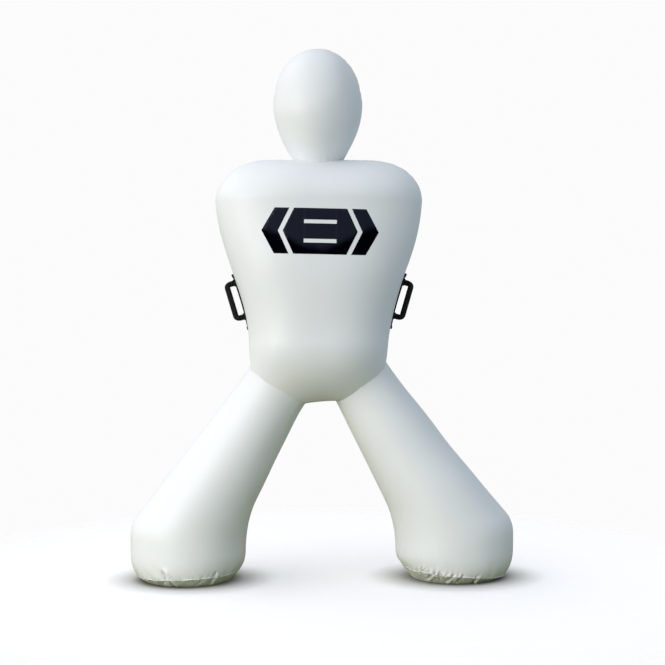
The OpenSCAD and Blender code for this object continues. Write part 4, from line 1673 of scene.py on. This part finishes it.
@dataclass
class Handle:
    """One side handle: a webbing strip on the torso's side and a stiff padded grip that flops on it."""

    side: Side
    frame: dict
    torso: Torso
    wardrobe: Wardrobe
    strip_width: float = 0.040
    strip_length: float = 0.196
    strip_thickness: float = 0.0040
    strip_clearance: float = 0.0008
    hem_length: float = 0.012
    hem_rise: float = 0.55
    stitch_pitch: float = 0.0042
    stitch_length: float = 0.0030
    stitch_lift: float = 0.0003
    stitch_margin: float = 0.0045
    grip_length: float = 0.138
    grip_rise: float = 0.009
    grip_thick: float = 0.019
    grip_wide: float = 0.026
    saddle_wide: float = 0.016
    saddle_long: float = 0.024
    pad_clearance: float = 0.00015
    pad_base: float = 0.0016
    corner: float = 0.011
    hinge_out: float = 0.01677
    foot_turn: float = 0.010
    bar_reach: float = 0.0285
    arm_thinning: float = 0.14
    root_share: float = 0.55
    path_step: float = 0.0012

    def __post_init__(self) -> None:
        """Takes the hinge line from the frame, and the strip's line from the torso's side."""
        joint = next(j for j in self.frame["joints"] if j["name"] == f"{self.side.word}_grip_flop")
        self.pivot = np.array(joint["pos_m"])
        self.along = np.array(joint["axis"])
        self.out = np.array([self.side.value * self.along[2], 0.0, -abs(self.along[0])])

    def place(self, out: Points, along: Points, depth: Points) -> Points:
        """Points given by distance out from the hinge, along the handle and front to back."""
        return (
            self.pivot
            + np.asarray(out)[..., None] * self.out
            + np.asarray(along)[..., None] * self.along
            + np.asarray(depth)[..., None] * np.array([0.0, 1.0, 0.0])
        )

    def strip_line(self, count: int = 120) -> Points:
        """The middle of the strip's inner face, which follows the torso's side."""
        s = np.linspace(-self.strip_length / 2, self.strip_length / 2, count)
        middle_z = self.pivot[2] - self.hinge_out * self.out[2] - self.grip_rise * self.along[2]
        z = middle_z + s * self.along[2]
        x = self.torso.half_width(z) + self.strip_clearance
        return np.stack([self.side.value * x, np.zeros_like(x), z], axis=1)

    def build(self) -> None:
        """Makes the strip, its stitching and the grip."""
        strip = self.build_strip()
        dress(strip, self.wardrobe.webbing)
        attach(strip, "torso")
        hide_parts(f"{self.side.word}_handle_base")
        stitches = self.build_stitches()
        dress(stitches, self.wardrobe.thread)
        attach(stitches, "torso")
        grip = self.build_grip()
        dress(grip, self.wardrobe.webbing)
        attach(grip, f"{self.side.word}_grip")
        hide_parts(f"{self.side.word}_handle_grip")
        LOG.info("%s handle made", self.side.word)

    def outward(self, line: Points) -> Points:
        """The direction away from the torso at each point of the strip's line."""
        way = np.gradient(line, axis=0)
        return unit(np.stack([way[:, 2], 0 * way[:, 2], -way[:, 0]], axis=1) * self.side.value)

    def build_strip(self) -> bpy.types.Object:
        """Makes the base strip with its hemmed ends and the two folds that hold the grip's feet."""
        line = self.strip_line()
        along = np.linspace(-0.5, 0.5, len(line)) * self.strip_length
        hem_start = self.strip_length / 2 - self.hem_length
        hem = between(np.abs(along), hem_start, hem_start + 0.0015)
        thick = self.strip_thickness * (1 + self.hem_rise * hem)
        section = rounded_section(1.0, 1.0, 8.0, 36)
        rings = (
            line[:, None]
            + self.outward(line)[:, None] * ((section[None, :, 1, None] + 0.5) * thick[:, None, None])
            + np.array([0.0, 1.0, 0.0]) * section[None, :, 0, None] * self.strip_width
        )
        name = f"{self.side.word}_handle_strip"
        pads = [self.build_pad(end) for end in (-1, 1)]
        joined = join(name, [tube(name, rings), *pads])
        points = coordinates(joined) - self.pivot
        add_strap_map(joined, points @ self.along, points[:, 1] + 0.5 * (points @ self.out))
        return joined

    def build_pad(self, end: int) -> bpy.types.Object:
        """Makes one fold of strap that rises round a foot of the grip."""
        reach = self.grip_length / 2 - self.grip_thick / 2
        radius = self.foot_turn - self.pad_clearance
        turn = np.linspace(math.radians(38), math.radians(142), 26)
        base = -(self.foot_turn + self.pad_base)
        half = self.saddle_wide / 2
        top = [(max(base + 0.0004, -radius * math.sin(a)), radius * math.cos(a)) for a in turn]
        outline = np.array([(base, half), *[(o, d) for o, d in top if abs(d) < half], (base, -half)])
        rings = [
            self.place(outline[:, 0], np.full(len(outline), end * reach + step), outline[:, 1])
            for step in np.linspace(-0.5, 0.5, 22) * self.saddle_long
        ]
        return tube("pad", np.array(rings))

    def build_stitches(self) -> bpy.types.Object:
        """Makes two rows of thread along the strip's edges and cross rows at its hems."""
        line = self.strip_line(400)
        outward = self.outward(line)
        tangent = unit(np.gradient(line, axis=0))
        crosswise = np.array([0.0, 1.0, 0.0])
        inset = self.strip_width / 2 - self.stitch_margin
        lift = self.strip_thickness + self.stitch_lift
        hem_lift = self.strip_thickness * (1 + self.hem_rise) + 0.0002
        row_end = 0.018
        threads = []
        for edge in (-1, 1):
            for s in np.arange(row_end, self.strip_length - row_end, self.stitch_pitch):
                k = int(s / self.strip_length * (len(line) - 1))
                at = line[k] + outward[k] * lift + crosswise * edge * inset
                threads.append((at, tangent[k], outward[k]))
        near, far = 0.006, 0.0115
        for end in (near, far, self.strip_length - far, self.strip_length - near):
            k = int(end / self.strip_length * (len(line) - 1))
            for y in np.arange(0.004 - self.strip_width / 2, self.strip_width / 2 - 0.003, self.stitch_pitch):
                at = line[k] + outward[k] * hem_lift + crosswise * y
                threads.append((at, crosswise, outward[k]))
        return thread_mesh(f"{self.side.word}_handle_stitching", threads, self.stitch_length)

    def grip_line(self) -> Points:
        """The grip's middle line, from foot to foot, as (out, 0, along) from the hinge."""
        arm = self.grip_length / 2 - self.grip_thick / 2
        bar = self.bar_reach - self.foot_turn
        turn = np.linspace(0, math.pi / 2, 22)
        corner_out = bar - self.corner + self.corner * np.sin(turn)
        corner_along = arm - self.corner + self.corner * np.cos(turn)
        top = list(zip(corner_out, corner_along))
        flat = [(0.0, arm), *top, *[(out, -along) for out, along in reversed(top)], (0.0, -arm)]
        return resample(np.array([(out, 0.0, along) for out, along in flat]), self.path_step)

    def build_grip(self) -> bpy.types.Object:
        """Makes the padded grip: a strap folded round a core, bent into a U, with round feet."""
        line = self.grip_line()
        path = self.place(line[:, 0], line[:, 2], np.zeros(len(line)))
        section = rounded_section(self.grip_wide, self.grip_thick, 3.0, 40)
        ripple = 1 + 0.012 * np.sin(np.arange(len(path)) * 0.9)
        width = self.root_share + (1 - self.root_share) * eased(between(line[:, 0], 0.0045, 0.009))
        bar = self.bar_reach - self.foot_turn
        thin = 1 - self.arm_thinning * between(line[:, 0], bar, 0)
        deep = np.array([0.0, 1.0, 0.0])
        outward = np.cross(unit(np.gradient(path, axis=0)), deep)
        inner_side = section[:, 1] * self.side.value < 0
        groove = 1 - 0.06 * np.exp(-((section[:, 0] / 0.0012) ** 2)) * inner_side
        rings = (
            path[:, None]
            + deep * section[None, :, 0, None] * width[:, None, None]
            + outward[:, None] * (section[:, 1] * groove)[None, :, None] * (ripple * thin)[:, None, None]
        )
        loop = tube(f"{self.side.word}_grip_loop", rings)
        feet = [self.build_foot(foot) for foot in (line[-1, 2], line[0, 2])]
        grip = join(f"{self.side.word}_handle_grip_padded", [loop, *feet])
        points = coordinates(grip) - self.pivot
        on_loop = np.arange(len(path)).repeat(len(section)) * self.path_step
        on_feet = points[len(on_loop):] @ self.along
        add_strap_map(grip, np.concatenate([on_loop, on_feet]), points[:, 1])
        return grip

    def build_foot(self, along: float) -> bpy.types.Object:
        """Makes one round foot of the grip, where the strap folds round its core."""
        half = self.grip_thick / 2
        turn = np.linspace(0, 2 * math.pi, 36, endpoint=False)
        rings = []
        for mark in (-1, -0.97, -0.9, -0.6, 0, 0.6, 0.9, 0.97, 1):
            rounding = np.interp(abs(mark), (0.9, 0.97, 1), (1, 0.93, 0.82))
            radius = (half - 0.0002) * rounding
            level = np.full_like(turn, along + mark * half)
            rings.append(self.place(radius * np.cos(turn), level, radius * np.sin(turn)))
        return tube("foot", np.array(rings))


def thread_mesh(name: str, threads: list[tuple[Points, Points, Points]], length: float) -> bpy.types.Object:
    """Many short stitches as one piece.

    Args:
        name: the piece's name.
        threads: middle, direction and outward direction of each stitch.
        length: the length of a stitch.

    Returns:
        The stitches.
    """
    radius = 0.00045
    marks = np.array([-0.5, -0.42, -0.2, 0.2, 0.42, 0.5])
    size = np.array([0.35, 0.8, 1.0, 1.0, 0.8, 0.35])
    sink = np.array([-1.0, -0.3, 0.0, 0.0, -0.3, -1.0]) * radius
    around = 8
    per_stitch = len(marks) * around
    turn = np.linspace(0, 2 * math.pi, around, endpoint=False)
    first_cap = tuple(range(around - 1, -1, -1))
    last_cap = tuple(range(per_stitch - around, per_stitch))
    one = [*grid_faces(len(marks), around, closed=True), first_cap, last_cap]
    points: list[Points] = []
    faces: list[tuple[int, ...]] = []
    for number, (middle, way, outward) in enumerate(threads):
        side = np.cross(way, outward)
        points.append(
            middle
            + way * (marks * length)[:, None, None]
            + outward * (sink[:, None, None] + (size * radius)[:, None, None] * np.sin(turn)[None, :, None])
            + side * (size * radius)[:, None, None] * np.cos(turn)[None, :, None]
        )
        faces += [tuple(number * per_stitch + k for k in face) for face in one]
    return make_object(name, np.array(points), faces, merge=1e-9)


# ---------------------------------------------------------------------------------------------
# Valve, stage and light
# ---------------------------------------------------------------------------------------------


@dataclass
class Valve:
    """The air valve on the back, whose exact parts only get their finishes."""

    frame: dict
    wardrobe: Wardrobe

    def build(self) -> None:
        """Dresses the valve's parts."""
        finishes = {
            "valve_body": self.wardrobe.pale_plastic,
            "valve_nut": self.wardrobe.pale_plastic,
            "valve_stem": self.wardrobe.pale_plastic,
            "valve_gasket": self.wardrobe.rubber,
            "valve_seal": self.wardrobe.rubber,
            "cap_gasket": self.wardrobe.rubber,
            "valve_spring": self.wardrobe.wire,
            "valve_cap": self.wardrobe.dark_plastic,
            "cap_tether": self.wardrobe.dark_plastic,
        }
        for name, material in finishes.items():
            dress(self.frame["nodes"][name], material)
        LOG.info("valve dressed")


@dataclass(frozen=True)
class SquareLight:
    """A square light that stands at a place and faces a point."""

    name: str
    place: Place
    aim: Place
    size: float
    power: float
    colour: tuple[float, float, float]
    spread: float = math.pi

    def make(self) -> bpy.types.Object:
        """The light, linked to the scene."""
        data = bpy.data.lights.new(self.name, "AREA")
        data.size = self.size
        data.energy = self.power
        data.color = self.colour
        data.spread = self.spread
        light = bpy.data.objects.new(self.name, data)
        bpy.context.scene.collection.objects.link(light)
        light.location = self.place
        light.rotation_euler = (Vector(self.aim) - Vector(self.place)).to_track_quat("-Z", "Y").to_euler()
        return light


@dataclass
class Studio:
    """A plain pale floor, a camera one metre up and soft light from the upper left."""

    distance: float = 5.0
    height: float = 1.0
    sensor: float = 36.0
    view_width: float = 2.265
    aim_x: float = 0.0443
    camera_x: float = -0.10
    drop: float = 0.1614
    roll: float = math.radians(0.30)
    floor_reach: float = 30.0
    floor_thrown: Colour = (0.24, 0.25, 0.06, 1.0)
    floor_seen: Colour = (1.30, 1.25, 1.21, 1.0)
    floor_shade: Colour = (0.16, 0.155, 0.14, 1.0)
    shade_reach: float = 0.13
    floor_glow: float = 0.02
    floor_fade: tuple[float, float] = (0.85, 1.6)
    backdrop: Colour = (0.973, 0.968, 0.973, 1.0)
    sky_low: Colour = (0.13, 0.14, 0.01, 1.0)
    sky_level: Colour = (0.77, 0.80, 0.83, 1.0)
    sky_high: Colour = (1.38, 1.42, 1.55, 1.0)
    sky_right: Colour = (0.31, 0.37, 0.42, 1.0)
    lights: tuple[SquareLight, ...] = (
        SquareLight("key", (-4.1, -3.5, 1.7), (0.0, 0.0, 0.7), 3.4, 168.0, (1.0, 0.985, 0.955)),
        SquareLight("fill", (4.5, -0.8, 0.7), (0.0, 0.0, 0.6), 3.0, 15.0, (0.58, 0.78, 1.0)),
        SquareLight(
            "low", (-1.3, -2.9, 0.2), (0.45, 0.0, 0.0), 0.8, 0.42, (0.97, 0.99, 1.0), math.radians(40)
        ),
    )

    def build_camera(self) -> None:
        """Makes the camera."""
        data = bpy.data.cameras.new("camera")
        data.sensor_width = self.sensor
        data.lens = self.sensor * self.distance / self.view_width
        camera = bpy.data.objects.new("camera", data)
        bpy.context.scene.collection.objects.link(camera)
        camera.location = (self.camera_x, -self.distance, self.height)
        aim = Vector((self.aim_x, 0.0, self.height - self.drop))
        turn = (aim - camera.location).to_track_quat("-Z", "Y").to_matrix()
        camera.rotation_euler = (turn @ Matrix.Rotation(-self.roll, 3, "Z")).to_euler()
        bpy.context.scene.camera = camera

    def build_floor(self) -> None:
        """Makes the floor, pale to the eye and dimmer in what it throws back at the dummy."""
        reach = self.floor_reach
        corners = [(-reach, -reach, 0.0), (reach, -reach, 0.0), (reach, reach, 0.0), (-reach, reach, 0.0)]
        mesh = bpy.data.meshes.new("floor")
        mesh.from_pydata(corners, [], [(0, 1, 2, 3)])
        self.floor = bpy.data.objects.new("floor", mesh)
        bpy.context.scene.collection.objects.link(self.floor)
        mesh.materials.append(self.floor_material())

    def floor_material(self) -> bpy.types.Material:
        """The floor's finish, darker close to what stands on it and clear far away."""
        material, nodes, shader, place = start_material("pale_floor")
        shader.inputs["Roughness"].default_value = 0.9
        shader.inputs["Specular IOR Level"].default_value = 0.0
        shader.inputs["Emission Color"].default_value = (1.0, 1.0, 1.0, 1.0)
        seen = nodes.add("ShaderNodeLightPath").outputs["Is Camera Ray"]
        colour = nodes.mix(seen, self.floor_thrown, self.floor_seen)
        open_sky = nodes.add("ShaderNodeAmbientOcclusion", {"Distance": self.shade_reach}, samples=12)
        closeness = nodes.math("SUBTRACT", 1.0, nodes.math("POWER", open_sky.outputs["AO"], 1.3))
        colour = nodes.mix(nodes.math("MULTIPLY", closeness, seen), colour, self.floor_shade)
        nodes.feed(shader.inputs["Base Color"], colour)
        nodes.feed(shader.inputs["Emission Strength"], nodes.math("MULTIPLY", seen, self.floor_glow))
        away = nodes.add("ShaderNodeVectorMath", {0: place}, operation="LENGTH").outputs["Value"]
        near, far = self.floor_fade
        nodes.feed(shader.inputs["Alpha"], nodes.ramp(away, far, near))
        return material

    def build_light(self) -> None:
        """Makes the key light, the cool fill, the faint low light and the surroundings.

        The floor gets only the surroundings' light.
        """
        skipped = bpy.data.collections.new("lit_by_surroundings_only")
        skipped.objects.link(self.floor)
        skipped.collection_objects[0].light_linking.link_state = "EXCLUDE"
        for light in self.lights:
            light.make().light_linking.receiver_collection = skipped
        self.build_surroundings()
        bpy.context.scene.view_settings.view_transform = "Standard"

    def build_surroundings(self) -> None:
        """Makes the sky: bright overhead, dim below and towards the right, and even behind the dummy."""
        world = bpy.data.worlds.new("surroundings")
        bpy.context.scene.world = world
        world.use_nodes = True
        nodes = Nodes(world.node_tree)
        background = world.node_tree.nodes["Background"]
        direction = nodes.add("ShaderNodeTexCoord").outputs["Generated"]
        axes = nodes.add("ShaderNodeSeparateXYZ", {0: direction})
        upward = nodes.ramp(axes.outputs[2], -0.4, 0.1)
        overhead = nodes.ramp(axes.outputs[2], 0.25, 0.95)
        leftward = nodes.ramp(axes.outputs[0], 0.9, -0.7)
        glow = nodes.mix(upward, self.sky_low, self.sky_level)
        glow = nodes.mix(overhead, glow, self.sky_high)
        glow = nodes.mix(leftward, self.sky_right, glow)
        seen = nodes.add("ShaderNodeLightPath").outputs["Is Camera Ray"]
        nodes.feed(background.inputs["Color"], nodes.mix(seen, glow, self.backdrop))


LEG_SHAPES = {
    Side.LEFT: LegShape(
        hip_height=0.012,
        hip_reach=0.034,
        fullness=0.035,
        draw=0.030,
        tilt=0.0165,
        crumpled=((0.365, 0.090, 0.0088),),
        folds=(
            Fold((0.372, -0.140, 0.040), (0.352, -0.130, 0.010), 0.005, 0.004),
            Fold((0.395, -0.152, 0.040), (0.418, -0.140, 0.008), 0.005, 0.004),
            Fold((0.440, -0.162, 0.040), (0.415, -0.142, 0.008), 0.005, 0.0035),
            Fold((0.448, -0.150, 0.010), (0.470, -0.163, 0.036), 0.005, 0.0035),
            Fold((0.520, -0.145, 0.036), (0.504, -0.130, 0.002), 0.005, 0.004, 0.9),
        ),
    ),
    Side.RIGHT: LegShape(
        hip_height=0.030,
        hip_reach=0.065,
        fullness=0.0,
        draw=0.024,
        tilt=0.007,
        crumpled=((-0.565, 0.045, 0.0034), (-0.330, 0.040, 0.0030)),
        folds=(
            Fold((-0.528, -0.145, 0.056), (-0.490, -0.130, 0.004), 0.010, 0.006, 0.9),
            Fold((-0.350, -0.125, 0.050), (-0.372, -0.118, 0.010), 0.005, 0.004),
        ),
    ),
}


def main() -> None:
    """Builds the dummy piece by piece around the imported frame."""
    logging.basicConfig(level=logging.INFO, format="%(name)s: %(message)s")
    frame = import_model()
    studio = Studio()
    studio.build_camera()
    wardrobe = Wardrobe()
    torso = Torso(frame, wardrobe)
    head = Head(torso, wardrobe)
    legs = [Leg(side, LEG_SHAPES[side], torso, wardrobe) for side in Side]
    panels = torso.build([leg.hip_fillet() for leg in legs], head.seam())
    Emblem(wardrobe).build(panels[0])
    head.build()
    for number, leg in enumerate(legs):
        leg.build(seed=100 + 20 * number)
    for side in Side:
        Handle(side, frame, torso, wardrobe).build()
    Valve(frame, wardrobe).build()
    studio.build_floor()
    studio.build_light()


if __name__ == "__main__":
    main()
